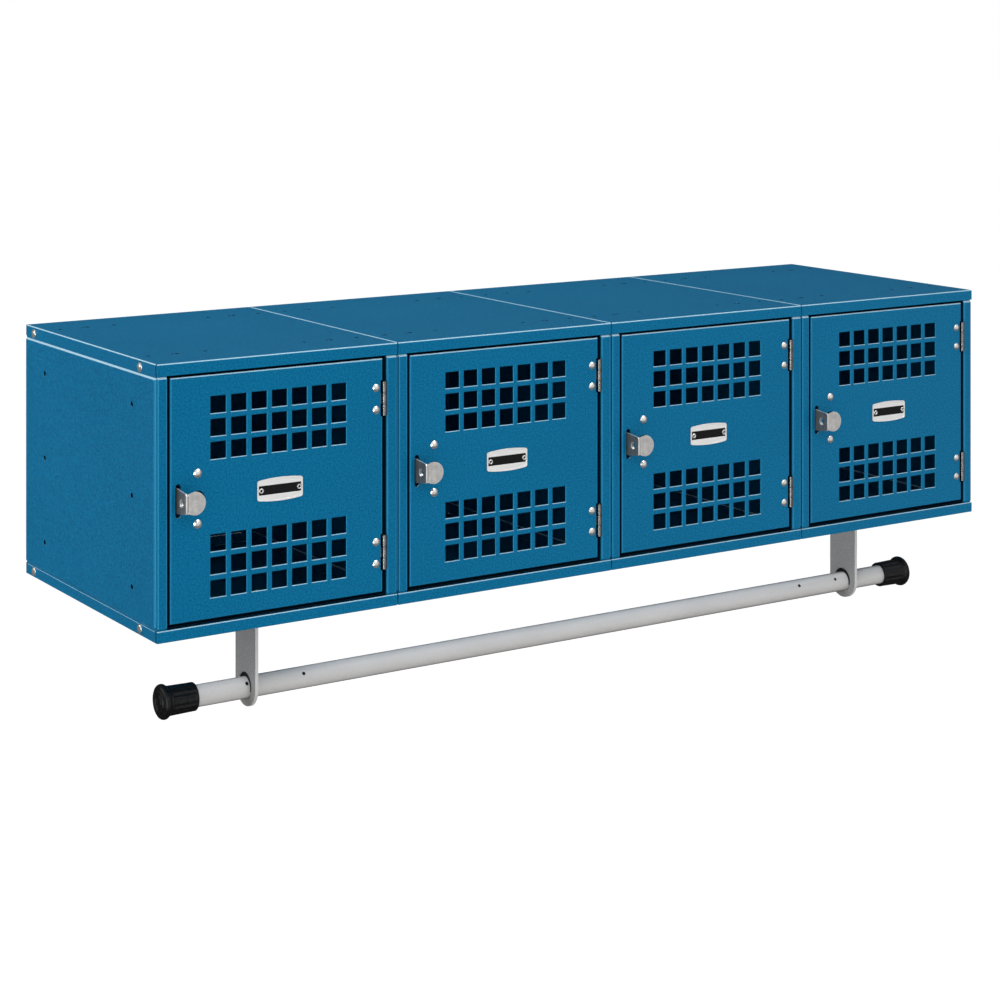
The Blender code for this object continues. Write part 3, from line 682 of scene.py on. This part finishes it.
POST_LEFT_BEND = 1.7 * MM
JAMB_BEND = 2.3 * MM
POST_RETURN = 8.0 * MM
POST_STEP = 1.8 * MM
LEFT_JAMB = 13.4 * MM
RIGHT_JAMB = 290.0 * MM
STOP_LAP = 5.4 * MM


def post(outer, jamb):
    """A front post with its jamb; its face steps back at both ends to pass behind the pans' flanges."""
    depth = FRAME[1].y - 0.5 * MM
    line = bent([(outer, POST_RETURN), (outer, 0), (jamb, 0), (jamb, depth)],
                [0, POST_LEFT_BEND, JAMB_BEND, 0], 5)
    turn = 1 if jamb > outer else -1
    outline = sheet_outline(line, turn * SHEET)
    start, end = FLANGE + 0.2 * MM, HEIGHT - FLANGE - 0.9 * MM

    def place(u, v, w):
        near = max(0.0, 1 - v / POST_RETURN)
        return (u, v + POST_STEP * near * (1 - flush(w, start, end)), w)

    return loft(outline, joggle_levels(FLANGE - 4 * MM, HEIGHT - FLANGE + 4 * MM, start, end), place)


def door_frame():
    """The welded frame: two posts with jambs, a head, a sill and the stop lip behind the door."""
    back = FRAME[1].y
    low_z, high_z = FLANGE + 0.6 * MM, HEIGHT - FLANGE + 0.1 * MM
    in_left, in_right = LEFT_JAMB - SHEET + 0.2 * MM, RIGHT_JAMB + SHEET - 0.2 * MM
    front = 9 * MM
    sill = block((in_left, front, low_z - SHEET), (in_right, back - 0.3 * MM, low_z))
    head = block((in_left, front, high_z), (in_right, back - 0.3 * MM, high_z + SHEET))
    lip = block((in_left, back - SHEET, low_z - SHEET / 2), (in_right, back, high_z + SHEET / 2))
    lip_low = (DOOR[0].x + STOP_LAP, 0, DOOR[0].z + STOP_LAP)
    lip = cut(lip, block(lip_low, (DOOR[1].x - STOP_LAP, DEPTH, DOOR[1].z - STOP_LAP)))
    left = post(FRAME[0].x, LEFT_JAMB)
    right = post(FRAME[1].x, RIGHT_JAMB)
    mesh = finish(weld(lip, sill, head, left, right), 0.15 * MM)
    # the jambs, head, sill and lip behind the front take the darker copy of the coat, as painted shade in
    # the door's gaps
    deep = JAMB_BEND + 0.3 * MM
    return second_material(mesh, BLUE, RETURN_SHADE, lambda face: face.center.y > deep)


DOOR_BEND = 1.9 * MM
VENT_SIDE = 0.75 * INCH
VENT_PITCH = 1.0 * INCH
VENT_COLUMNS = 7
VENT_ROWS = 3
VENT_GRID_RISE = 76.4 * MM
VENT_EASE = 0.65 * MM
LOCK_HOLE = 9.0 * MM
LOCK_HOLE_X = 49.0 * MM
SLOT = Vector((6.6 * MM, 0, 37.4 * MM))
SLOT_X = 25.7 * MM


def vent_cutter(front):
    """All the square holes of one door whose face is at y = front, with a small slope round each opening."""
    half = VENT_SIDE / 2
    columns = [(i - (VENT_COLUMNS - 1) / 2) * VENT_PITCH for i in range(VENT_COLUMNS)]
    rows = [(i - (VENT_ROWS - 1) / 2) * VENT_PITCH for i in range(VENT_ROWS)]
    centres = [
        (MID_X + across, MID_Z + grid + up)
        for grid in (-VENT_GRID_RISE, VENT_GRID_RISE)
        for up in rows
        for across in columns
    ]

    def place_at(x, z):
        def place(u, v, w):
            grow = 1 + max(0.0, VENT_EASE - w) / half
            return (x + u * grow, front + w, z + v * grow)

        return place

    return repeated(centres, rectangle(-half, -half, half, half), (-MM, VENT_EASE, 3 * MM), place_at)


def door():
    """A door pan with its vents, latch slot, lock hole and the notches for the hinge knuckles."""
    low, high = DOOR
    sheet = open_tray(low, high, SHEET, (0, 1, 0), DOOR_BEND)
    slot = prism(stadium(SLOT.x, SLOT.z), -MM, 3 * MM, along_y(SLOT_X, MID_Z))
    lock = prism(circle(LOCK_HOLE, 40), -MM, 3 * MM, along_y(LOCK_HOLE_X, MID_Z))
    half = HINGE_HALF + 1.5 * MM
    left = HINGE_X - KNUCKLE_RADIUS - 2 * MM
    notches = [block((left, -MM, z - half), (high.x + MM, high.y + MM, z + half)) for z in HINGE_HEIGHTS]
    mesh = finish(cut(sheet, vent_cutter(low.y), slot, lock, *notches), 0.5 * MM, 3)
    # the door's return flanges take the darker copy of the coat, as painted shade in the gaps round it
    return second_material(mesh, BLUE, RETURN_SHADE, lambda face: (
        face.center.y - low.y > DOOR_BEND + 0.3 * MM and abs(face.normal.y) < 0.5))


# ---- hardware of one box

SHANK_RADIUS = 2.3 * MM


def dome(x, z, radius, height, front, tail):
    """A rivet with a domed head whose rim starts at y = front and whose shank ends at y = tail."""
    ball = (radius * radius + height * height) / (2 * height)
    reach = math.asin(min(1.0, radius / ball))
    crown = []
    for step in range(9):
        turn = reach * (1 - step / 9)
        crown.append((front - height + ball * (1 - math.cos(turn)), ball * math.sin(turn)))
    shank = [(tail, SHANK_RADIUS), (front, SHANK_RADIUS)]
    rim = [(front, radius - 0.25 * MM), (front - 0.2 * MM, radius)]
    return turned(shank + rim + crown[1:] + [(front - height, 0)], 36, along_y(x, z))


def leaf_outline(start, curl_from, curl_to):
    """A flat leaf that runs into a rolled knuckle about the origin."""
    curl = arc((0, 0), KNUCKLE_RADIUS, curl_from, curl_to, 22)
    return sheet_outline([Vector(point) for point in [start] + curl], -LEAF_SHEET)


def frame_leaf():
    """The hinge half on the jamb, with two rolled knuckles and the pin; its middle is at z = 0."""
    outline = leaf_outline((KNUCKLE_RADIUS, DOOR[1].y), 0, -315)
    inside = KNUCKLE / 2 + KNUCKLE_PLAY
    spans = ((inside, HINGE_HALF), (-HINGE_HALF, -inside))
    pieces = [prism(outline, a, b, along_z(0, 0)) for a, b in spans]
    end = HINGE_HALF - 0.4 * MM
    pieces.append(turned([(-end, 0), (-end, PIN_RADIUS), (end, PIN_RADIUS), (end, 0)], 24, along_z(0, 0)))
    half = HINGE_HALF - 0.1 * MM
    plate = block((KNUCKLE_RADIUS - LEAF_SHEET, 4.2 * MM, -half),
                  (KNUCKLE_RADIUS, DOOR[1].y - 0.2 * MM, half))
    return finish(weld(plate, *pieces), 0.5 * MM, 3)


def door_leaf():
    """The hinge half behind the door sheet, with its rolled middle knuckle; its middle is at z = 0."""
    left = DOOR_LEAF[0].x - HINGE_X
    outline = leaf_outline((left + 6 * MM, KNUCKLE_RADIUS), 90, -200)
    middle = KNUCKLE / 2 - KNUCKLE_PLAY
    knuckle = prism(outline, -middle, middle, along_z(0, 0))
    right = -KNUCKLE_RADIUS - 2.4 * MM
    plate = block((left, 1.85 * MM, -HINGE_HALF), (right, KNUCKLE_RADIUS - 0.05 * MM, HINGE_HALF))
    return finish(weld(plate, knuckle), 0.45 * MM, 3)


def rivet_pair(x, rise, radius, height, front, tail):
    """Two domed rivets above and below z = 0."""
    pair = [dome(x, side * rise, radius, height, front, tail) for side in (-1, 1)]
    return finish(weld(*pair), 0, corner=50)


EYE_CORNER = 3.0 * MM
EYE_END_HALF = 11.1 * MM
SHACKLE_RADIUS = 4.75 * MM
SHACKLE_OUT = 11.5 * MM


def shackle_hole(left):
    profile = [(left - MM, SHACKLE_RADIUS), (left + LATCH_SHEET + MM, SHACKLE_RADIUS)]
    return turned(profile, 36, along_x(-SHACKLE_OUT, 0))


def padlock_eye():
    """The fixed eye: a plate through the door's slot and a foot behind the stop lip, about z = 0."""
    half = (EYE[1].z - EYE[0].z) / 2
    right = EYE[1].x
    left = right - LATCH_SHEET
    front, back = EYE[0].y, EYE[1].y
    corners = [(back, half), (0, half), (front, EYE_END_HALF), (front, -EYE_END_HALF), (0, -half),
               (back, -half)]
    radii = [0, 2 * MM, EYE_CORNER, EYE_CORNER, 2 * MM, 0]
    outline = bent(corners, radii, 8)
    eye = prism(outline, left, right, along_x(0, 0))
    foot_low = (EYE[0].x, back - LATCH_SHEET + 0.1 * MM, -half + 0.1 * MM)
    foot = block(foot_low, (right - MM, back - 0.1 * MM, half - 0.1 * MM))
    mesh = finish(cut(weld(eye, foot), shackle_hole(left)), 0.6 * MM, 3)
    # the eye's faces take the darker nickel as painted shade, its edges the lighter one as a painted
    # highlight
    return second_material(mesh, EYE_SHADED_NICKEL, EDGE_LIT_NICKEL, lambda face: abs(face.normal.x) < 0.85)


PULL_BEND = 4.2 * MM
PULL_LEG_HALF = 10.8 * MM
PULL_TAB_RADIUS = 12.8 * MM
PULL_RIGHT = 48.8 * MM
PULL_BACK = 3.8 * MM
TAB_STEPS = 24


def pull_half(point):
    """Half the pull's height at a point of its line: the tab is part of a circle, the leg is straight."""
    across = point.x - (PULL_RIGHT - PULL_TAB_RADIUS)
    if point.y > 0 or abs(across) >= PULL_TAB_RADIUS:
        return PULL_LEG_HALF
    round_half = math.sqrt(PULL_TAB_RADIUS ** 2 - across ** 2)
    return round_half if across > 0 else max(PULL_LEG_HALF, round_half)


def pull_line():
    """The pull's outer line from its base behind the door, along the leg and across the finger tab."""
    left, front = PULL[0].x, PULL[0].y
    middle = PULL_RIGHT - PULL_TAB_RADIUS
    line = bent([(left + 9 * MM, PULL_BACK), (left, PULL_BACK), (left, front), (middle, front)],
                [0, 3.2 * MM, PULL_BEND, 0], 8)
    for step in range(1, TAB_STEPS + 1):
        turn = math.radians(89) * step / TAB_STEPS
        line.append(Vector((middle + PULL_TAB_RADIUS * math.sin(turn), front)))
    return line


def door_pull():
    """One formed plate: a base riveted behind the door, a leg beside the eye and a rounded finger tab."""
    line = pull_line()
    inner = inner_line(line, LATCH_SHEET)

    def place(u, v, w):
        point = (line, inner)[u][w]
        return (point.x, point.y, v * pull_half(line[w]))

    ribbon = loft([(0, 1), (1, 1), (1, -1), (0, -1)], range(len(line)), place)
    base_half = (PULL[1].z - PULL[0].z) / 2
    corners = rectangle(PULL[0].x + 4 * MM, -base_half, PULL[1].x, base_half)
    outline = bent(corners, 4 * MM, 6, closed=True)
    base = prism(outline, 1.9 * MM, PULL_BACK - 0.1 * MM, along_y(0, 0))
    base = cut(base, prism(circle(LOCK_HOLE + MM, 40), 0, 2 * PULL_BACK, along_y(LOCK_HOLE_X, 0)))
    mesh = finish(cut(weld(ribbon, base), shackle_hole(PULL[0].x)), 0.6 * MM, 3)
    # the pull's edges take the lighter nickel, a painted highlight
    bend_end = PULL[0].x + 2 * PULL_BEND
    return second_material(mesh, NICKEL, EDGE_LIT_NICKEL, lambda face: (
        abs(face.normal.z) > 0.4 or (face.center.x > bend_end and abs(face.normal.y) < 0.85)))


PLATE_RIM = 1.4 * MM
PLATE_RIVET_X = 24.0 * MM
WINDOW = Vector((53.4 * MM, 0, 10.6 * MM))
PLATE_HALF = PLATE[1].x - MID_X
PLATE_FRONT = -1.5 * MM
PLATE_BACK = -0.3 * MM


def plate_outline(inset):
    """The plate's outline with bowed long edges and rounded corners, moved inwards by inset."""
    half = PLATE_HALF - inset
    tall = (PLATE[1].z - PLATE[0].z) / 2 - inset
    ends = tall - 2.2 * MM
    radius = max(2.6 * MM - inset, 1.0 * MM)
    steps = 10

    def edge(sign):
        """One long edge, from one end to the other."""
        share = (1 - 2 * i / steps for i in range(steps + 1))
        return [(sign * half * t, sign * (ends + (tall - ends) * (1 - t * t))) for t in share]

    points = edge(1) + edge(-1)
    radii = [0.3 * MM] * len(points)
    for i in (0, steps, steps + 1, 2 * steps + 1):
        radii[i] = radius
    return bent(points, radii, 4, closed=True)


def number_plate():
    """A thin plate with a raised rim and a window for its black panel; its middle is the origin."""
    plate = prism(plate_outline(0), PLATE_FRONT, PLATE_BACK, along_y(0, 0))
    pocket = prism(plate_outline(PLATE_RIM), PLATE_FRONT - MM, PLATE_FRONT + 0.45 * MM, along_y(0, 0))
    window = block((-WINDOW.x / 2, PLATE_FRONT - MM, -WINDOW.z / 2),
                   (WINDOW.x / 2, PLATE_BACK - 0.3 * MM, WINDOW.z / 2))
    return finish(cut(plate, pocket, window), 0.12 * MM)


def plate_panel():
    """The blank black panel in the plate's window."""
    half_x, half_z = WINDOW.x / 2 - 0.15 * MM, WINDOW.z / 2 - 0.15 * MM
    outline = bent(rectangle(-half_x, -half_z, half_x, half_z), 0.5 * MM, 4, closed=True)
    panel = prism(outline, PLATE_FRONT + 0.5 * MM, PLATE_BACK - 0.25 * MM, along_y(0, 0))
    return finish(panel, 0.08 * MM)


def tubular_rivets():
    """Two rivets with a rolled rim round an open middle."""
    roll = in_mm([(-1.15, 1.25), (-2.2, 1.25), (-2.62, 1.5), (-2.85, 1.95), (-2.8, 2.45), (-2.45, 2.85),
                  (-1.95, 3.0), (-1.2, 2.95)])
    rings = [turned(roll, 32, along_y(side * PLATE_RIVET_X, 0), closed=True) for side in (-1, 1)]
    return finish(weld(*rings), 0, corner=50)


# ---- parts shared by the row

SCREW_HEAD = [(-0.3, 5.0), (0, 5.4), (0.35, 5.5), (0.9, 5.1), (1.4, 4.3), (1.8, 3.1), (2.05, 1.7), (2.12, 0)]
SCREW_YS = (DEPTH - 336.5 * MM, DEPTH - 26.5 * MM)
SCREW_ZS = (7.5 * MM, HEIGHT - 8.4 * MM)


def truss_screws(face_x, outwards):
    """The low round screws that hold the pans' side flanges."""
    pieces = []
    for z in SCREW_ZS:
        for y in SCREW_YS:
            profile = [(face_x + outwards * rise * MM, radius * MM) for rise, radius in SCREW_HEAD]
            pieces.append(turned(profile, 32, along_x(y, z)))
    return finish(weld(*pieces), 0, corner=50)


WALL_HOLE = 3.5 * MM
WALL_HOLE_RUN = 4.0 * INCH
WALL_HOLE_RISE = 4.5 * INCH


def back_panel():
    """One sheet behind all the boxes, with four screw holes behind each."""
    low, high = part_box("back_panel")
    panel = block(low, high)
    centres = [
        (box_corner(i).x + WIDTH / 2 + across * WALL_HOLE_RUN, up * WALL_HOLE_RISE)
        for i in range(BOXES)
        for across in (-1, 1)
        for up in (-1, 1)
    ]
    cutter = repeated(centres, circle(WALL_HOLE, 24), (low.y - MM, high.y + MM), along_y)
    return finish(cut(panel, cutter), 0.25 * MM)


BRACKETS = [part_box("rod_bracket_left"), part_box("rod_bracket_right")]
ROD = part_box("hang_rod")
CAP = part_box("rod_cap_left")
ROD_RADIUS = (ROD[1].z - ROD[0].z) / 2
ROD_MID = (ROD[0] + ROD[1]) / 2
ROD_WALL = 1.6 * MM
BAR_SHEET = 4.0 * MM
BAR_FOOT = 40.0 * MM
BAR_HOLE = 15.4 * MM
BAR_END = 24.0 * MM
BOLT_X = BRACKETS[0][0].x - CORNER.x + BAR_SHEET + BAR_FOOT / 2
BAR_Y = ROD_MID.y - CORNER.y
BAR_HOLE_Z = BRACKETS[0][0].z - CORNER.z + BAR_END
BOLT_YS = [BAR_Y + side * 16.0 * MM for side in (-1, 1)]
BOLT_RADIUS = 3.0 * MM
BOLT_HEAD = circle(5.6 * MM, 6)


def rod_bracket():
    """A flat bar with a round lower end and the rod's hole, in the box's frame with its middle at x = 0."""
    low, high = BRACKETS[0]
    half = (high.y - low.y) / 2
    top = -0.3 * MM
    round_end = [(u, BAR_HOLE_Z + v * BAR_END / half) for u, v in arc((0, 0), half, 180, 360, 36)]
    bar = prism([(half, top), (-half, top)] + round_end, -BAR_SHEET / 2, BAR_SHEET / 2, along_x(BAR_Y, 0))
    foot = block((-BAR_SHEET / 2, BAR_Y - half + 0.05 * MM, top - BAR_SHEET),
                 (BAR_SHEET / 2 + BAR_FOOT, BAR_Y + half - 0.05 * MM, top - 0.05 * MM))
    through = turned([(-BAR_SHEET, BAR_HOLE), (BAR_SHEET, BAR_HOLE)], 64, along_x(BAR_Y, BAR_HOLE_Z))
    pieces = [foot]
    under = top - BAR_SHEET
    for bolt_y in BOLT_YS:
        place = along_z((BAR_SHEET + BAR_FOOT) / 2, bolt_y)
        pieces.append(prism(BOLT_HEAD, under - 4 * MM, under + MM, place))
        pieces.append(prism(circle(BOLT_RADIUS, 20), under, 9.5 * MM, place))
        pieces.append(prism(BOLT_HEAD, PAN_SHEET + 0.3 * MM, PAN_SHEET + 5.3 * MM, place))
    mesh = finish(cut(weld(bar, *pieces), through), 0.8 * MM, 3)
    # the bar's edges take a lighter copy of its paint, a painted highlight
    return second_material(mesh, BRACKET, LIT_EDGE_PAINT, lambda face: (
        abs(face.normal.x) < 0.85 and face.center.z < top and abs(face.center.x) < BAR_SHEET))


# the black strip in a bracket's hole is painted shade in the gap above the rod
SHADE_OUTER = BAR_HOLE - 0.1 * MM
SHADE_INNER = ROD_RADIUS + 0.25 * MM
SHADE_ARM = 20


def rod_hole_shade():
    """A black strip that fills a bracket's hole above and beside the rod, painted shade in the gap there,
    placed as the bracket.
    """
    outside = arc((BAR_Y, BAR_HOLE_Z), SHADE_OUTER, -SHADE_ARM, 180 + SHADE_ARM, 40)
    rod_z = ROD_MID.z - CORNER.z
    inside = arc((BAR_Y, rod_z), SHADE_INNER, 180 + SHADE_ARM / 2, -SHADE_ARM / 2, 40)
    half = BAR_SHEET / 2 + 0.3 * MM
    bracket_hole_shade = prism(outside + inside, -half, half, along_x(0, 0))
    return finish(bracket_hole_shade, 0.3 * MM)


CROSS_HOLES = (-0.4595, -0.3852, 0.3720, 0.4360)
CROSS_RADIUS = 2.1 * MM
CROSS_TILT = math.radians(35)


def hang_rod():
    """The tube, with a few small cross holes on its front; the origin is its middle."""
    half = (ROD[1].x - ROD[0].x) / 2
    inner = ROD_RADIUS - ROD_WALL
    profile = [(-half, ROD_RADIUS), (half, ROD_RADIUS), (half, inner), (-half, inner)]
    tube = turned(profile, 72, along_x(0, 0), closed=True)

    lean, rise = math.cos(CROSS_TILT), math.sin(CROSS_TILT)
    reach = (0.5 * ROD_RADIUS, 1.5 * ROD_RADIUS)
    centres = [(x, 0) for x in CROSS_HOLES]
    cutter = repeated(centres, circle(CROSS_RADIUS, 20), reach, lambda x, y: (
        lambda u, v, w: (x + u, y - w * lean - v * rise, w * rise - v * lean)))
    mesh = finish(cut(tube, cutter), 0.2 * MM)
    # the inside of the tube is near black, painted shade seen through the cross holes
    return second_material(mesh, ROD_PAINT, TUBE_INSIDE_SHADE, lambda face: (
        math.hypot(face.center.y, face.center.z) < ROD_RADIUS - 0.35 * MM))


CAP_RIBS = 16
CAP_RIB_DEPTH = 1.1 * MM
CAP_RIBS_START = 12.5 * MM
CAP_RIBS_END = 43.5 * MM
CAP_RIBS_FADE = 2.5 * MM


def cap_swell(along, radius, turn):
    """Sinks the flutes between the ribs of a cap's body."""
    zone = ease((along - CAP_RIBS_START) / CAP_RIBS_FADE) * ease((CAP_RIBS_END - along) / CAP_RIBS_FADE)
    wave = 0.5 - 0.5 * math.cos(CAP_RIBS * turn)
    return radius - CAP_RIB_DEPTH * zone * wave ** 0.6


def rod_cap():
    """A flared rubber tip, closed at x = 0 and open towards +x, with rings on its end and a ribbed body."""
    rings = [(1.5, 0), (1.5, 4.4), (0.6, 5.4), (0.5, 6.6), (1.7, 7.7), (1.8, 8.9), (0.6, 9.9), (0.1, 10.9),
             (0.15, 12.3), (1.5, 13.3), (1.6, 14.2), (0.9, 15.2), (1.3, 17.0), (2.4, 18.7), (3.8, 19.6),
             (5.6, 20.0), (7.4, 19.7), (8.6, 19.0), (9.4, 17.9), (10.2, 17.1), (11.4, 16.9)]
    body = [(12.2 + 1.0 * i, 17.0 - 0.02 * i) for i in range(32)]
    profile = in_mm(rings + body + [(44.2, 16.2), (45.0, 15.4)])
    bore = ROD_RADIUS + 0.3 * MM
    profile += [(45.0 * MM, bore + 0.5 * MM), (44.4 * MM, bore), (5.0 * MM, bore), (5.0 * MM, 0)]
    cap = turned(profile, 8 * CAP_RIBS, along_x(0, 0), swell=cap_swell)
    return finish(cap, 0, corner=40)


# ---- assembly


def box_corner(i):
    """World place of box i's own origin, counted from 0."""
    return CORNER + Vector((i * WIDTH, 0, 0))


def show(name, mesh, place, body, material, node=None, spun=False):
    """Puts a piece of this mesh in the scene, on its CAD body and in place of its CAD node, if any."""
    piece = in_scene(name, mesh)
    piece.location = place
    if spun:
        piece.rotation_euler = (0, 0, math.pi)
    if not mesh.materials:
        mesh.materials.append(material)
    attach(piece, body)
    if node:
        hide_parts(node)
    return piece


def box_pieces():
    """Name, mesh, place, whether it swings with the door, material and CAD node of each piece of a box."""
    here, latch, plate = Vector(), Vector((0, 0, MID_Z)), Vector((MID_X, 0, MID_Z))
    pull_rivets = rivet_pair(PULL_RIVET.x, PULL_RIVET.z, 5.0 * MM, 2.7 * MM, -0.05 * MM, 3.3 * MM)
    pieces = [
        ("top_pan", top_pan(), here, False, BLUE, "top_pan"),
        ("bottom_pan", bottom_pan(), here, False, BLUE, "bottom_pan"),
        ("side_left", side_panel(False), here, False, BLUE, "side_left"),
        ("side_right", side_panel(True), here, False, BLUE, "side_right"),
        ("door_frame", door_frame(), here, False, BLUE, "door_frame"),
        ("door", door(), here, True, BLUE, "door"),
        ("padlock_eye", padlock_eye(), latch, False, NICKEL, "padlock_eye"),
        ("door_pull", door_pull(), latch, True, NICKEL, "door_pull"),
        ("pull_rivets", pull_rivets, latch, True, BRIGHT, None),
        ("number_plate", number_plate(), plate, True, PLATE_METAL, "number_plate"),
        ("plate_panel", plate_panel(), plate, True, ENAMEL, None),
        ("plate_rivets", tubular_rivets(), plate, True, BRIGHT, None),
    ]
    jamb_leaf, swing_leaf = frame_leaf(), door_leaf()
    rivet_x = HINGE_RIVET.x - HINGE_X
    rivets = rivet_pair(rivet_x, HINGE_RIVET.z, 4.6 * MM, 2.4 * MM, -0.05 * MM, 2.6 * MM)
    for level, z in zip(("lower", "upper"), HINGE_HEIGHTS):
        at = Vector((HINGE_X, 0, z))
        pieces.append((f"{level}_jamb_leaf", jamb_leaf, at, False, HINGE_METAL, f"hinge_{level}_frame_leaf"))
        pieces.append((f"{level}_door_leaf", swing_leaf, at, True, HINGE_METAL, f"hinge_{level}_door_leaf"))
        pieces.append((f"{level}_hinge_rivets", rivets, at, True, BRIGHT, None))
    return pieces


def build_boxes():
    for name, mesh, place, swings, material, node in box_pieces():
        for i in range(BOXES):
            body = f"door_assembly_{i + 1}" if swings else "cabinet"
            at = box_corner(i) + place
            show(f"box_{i + 1}_{name}", mesh, at, body, material, node and f"{node}_{i + 1}")


def build_row():
    """The parts shared by the row; returns those that hang under it."""
    left = truss_screws(PAN_GAP, -1)
    right = truss_screws(WIDTH - PAN_GAP, 1)
    show("pan_screws_left", left, box_corner(0), "cabinet", BRIGHT)
    show("pan_screws_right", right, box_corner(BOXES - 1), "cabinet", BRIGHT)
    show("back_sheet", back_panel(), (0, 0, 0), "cabinet", BLUE, "back_panel")
    bracket, bracket_hole_shade = rod_bracket(), rod_hole_shade()
    under_row = [show("coat_rod", hang_rod(), ROD_MID, "rod_assembly", ROD_PAINT, "hang_rod")]
    for side, (low, high) in zip(("left", "right"), BRACKETS):
        at = Vector((low.x + BAR_SHEET / 2, CORNER.y, CORNER.z))
        under_row.append(show(f"{side}_rod_bracket", bracket, at, "cabinet", BRACKET, f"rod_bracket_{side}"))
        # a black strip in the bracket's hole: painted shade round the rod
        under_row.append(show(f"{side}_rod_hole_shade", bracket_hole_shade, at, "cabinet", RUBBER))
    cap = rod_cap()
    end = Vector((CAP[0].x, ROD_MID.y, ROD_MID.z))
    show("left_rod_cap", cap, end, "rod_assembly", RUBBER, "rod_cap_left")
    end.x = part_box("rod_cap_right")[1].x
    show("right_rod_cap", cap, end, "rod_assembly", RUBBER, "rod_cap_right", spun=True)
    return under_row


# ---- floor, light and camera

FLOOR_Z = -1.45
FLOOR_SIZE = 60.0
FLOOR_GLOW = 0.35
WORLD_LIGHT = 0.74
GLOSS_LOW = 0.03
GLOSS_HIGH = 0.95
GLOSS_TOWARDS = (0.0, -0.8, 0.6)
CAMERA_PLACE = (-1.6777, -2.7124, 0.5464)
CAMERA_YAW = math.radians(-33.0)
CAMERA_LENS = 83.88
CAMERA_SHIFT = -0.497


def build_floor():
    floor = new_object("floor", lambda bm: bmesh.ops.create_grid(
        bm, x_segments=4, y_segments=4, size=FLOOR_SIZE))
    floor.location = (0, 0, FLOOR_Z)
    floor.data.materials.append(floor_paper())
    floor.visible_glossy = False


def area_light(name, place, aim, size, power, highlight=False):
    """A soft rectangular light that points at aim; size is its width and height in metres.

    A highlight light is only seen in reflections: it draws the bends without lighting the faces.
    """
    data = bpy.data.lights.new(name, "AREA")
    data.shape = "RECTANGLE"
    data.size, data.size_y = size
    data.energy = power
    light = in_scene(name, data)
    light.location = place
    light.rotation_euler = (Vector(aim) - Vector(place)).to_track_quat("-Z", "Y").to_euler()
    light.visible_diffuse = not highlight
    return light


def build_world():
    """An even white surround for diffuse light; reflections see it bright in front and dark behind."""
    world = bpy.data.worlds.new("studio")
    bpy.context.scene.world = world
    nodes = Nodes(world, "Background")
    rays = nodes.add("LightPath")
    inputs = {0: nodes.place["Generated"], 1: GLOSS_TOWARDS}
    facing = nodes.add("VectorMath", inputs, operation="DOT_PRODUCT")["Value"]
    glow = nodes.span(facing, GLOSS_LOW, GLOSS_HIGH, 0.0, 0.7, "SMOOTHSTEP")
    light = nodes.choose(rays["Is Glossy Ray"], WORLD_LIGHT, glow)
    nodes.set("Strength", nodes.choose(rays["Is Camera Ray"], light, 1.0))
    nodes.set("Color", (1, 1, 1))


def build_lights(under_row):
    """Soft daylight all round; the rod and its brackets have a light that the boxes don't shade."""
    build_world()
    area_light("front_soft", (-0.7, -2.2, 1.5), (0.0, -0.3, 0.0), (1.6, 1.0), 7)
    area_light("top_soft", (-0.4, 0.3, 1.7), (-0.2, -0.2, 0.1), (2.4, 0.8), 9)
    area_light("left_rear", (-2.2, 0.6, 0.5), (-0.61, -0.15, 0.0), (0.8, 0.8), 9)
    area_light("overhead", (0.9, -0.9, 2.3), (0.1, -0.3, 0.0), (3.4, 0.5), 60, highlight=True)
    area_light("front_left", (-2.8, -2.0, -0.2), (-0.3, -0.3, 0.0), (0.5, 2.2), 50, highlight=True)
    lit = bpy.data.collections.new("under_row")
    for piece in under_row:
        lit.objects.link(piece)
    rod_light = area_light("rod_top", (-0.6, -0.65, 1.0), (-0.15, -0.28, -0.25), (2.2, 0.5), 35)
    rod_light.light_linking.receiver_collection = lit
    rod_light.light_linking.blocker_collection = lit


def build_camera():
    """The camera stands level and its lens is shifted down; a turn-table view uses no shift."""
    data = bpy.data.cameras.new("camera")
    camera = in_scene("camera", data)
    camera.location = CAMERA_PLACE
    camera.rotation_euler = (math.radians(90), 0, CAMERA_YAW)
    data.lens = CAMERA_LENS
    data.clip_end = 60
    driver = data.driver_add("shift_y").driver
    driver.type = "SCRIPTED"
    spot = driver.variables.new()
    spot.name = "x"
    spot.type = "TRANSFORMS"
    spot.targets[0].id = camera
    spot.targets[0].transform_type = "LOC_X"
    driver.expression = f"{CAMERA_SHIFT} if abs(x - {CAMERA_PLACE[0]}) < 0.001 else 0"
    bpy.context.scene.camera = camera


build_boxes()
under_the_row = build_row()
build_floor()
build_lights(under_the_row)
build_camera()
bpy.context.scene.view_settings.view_transform = "Standard"
bpy.context.view_layer.update()
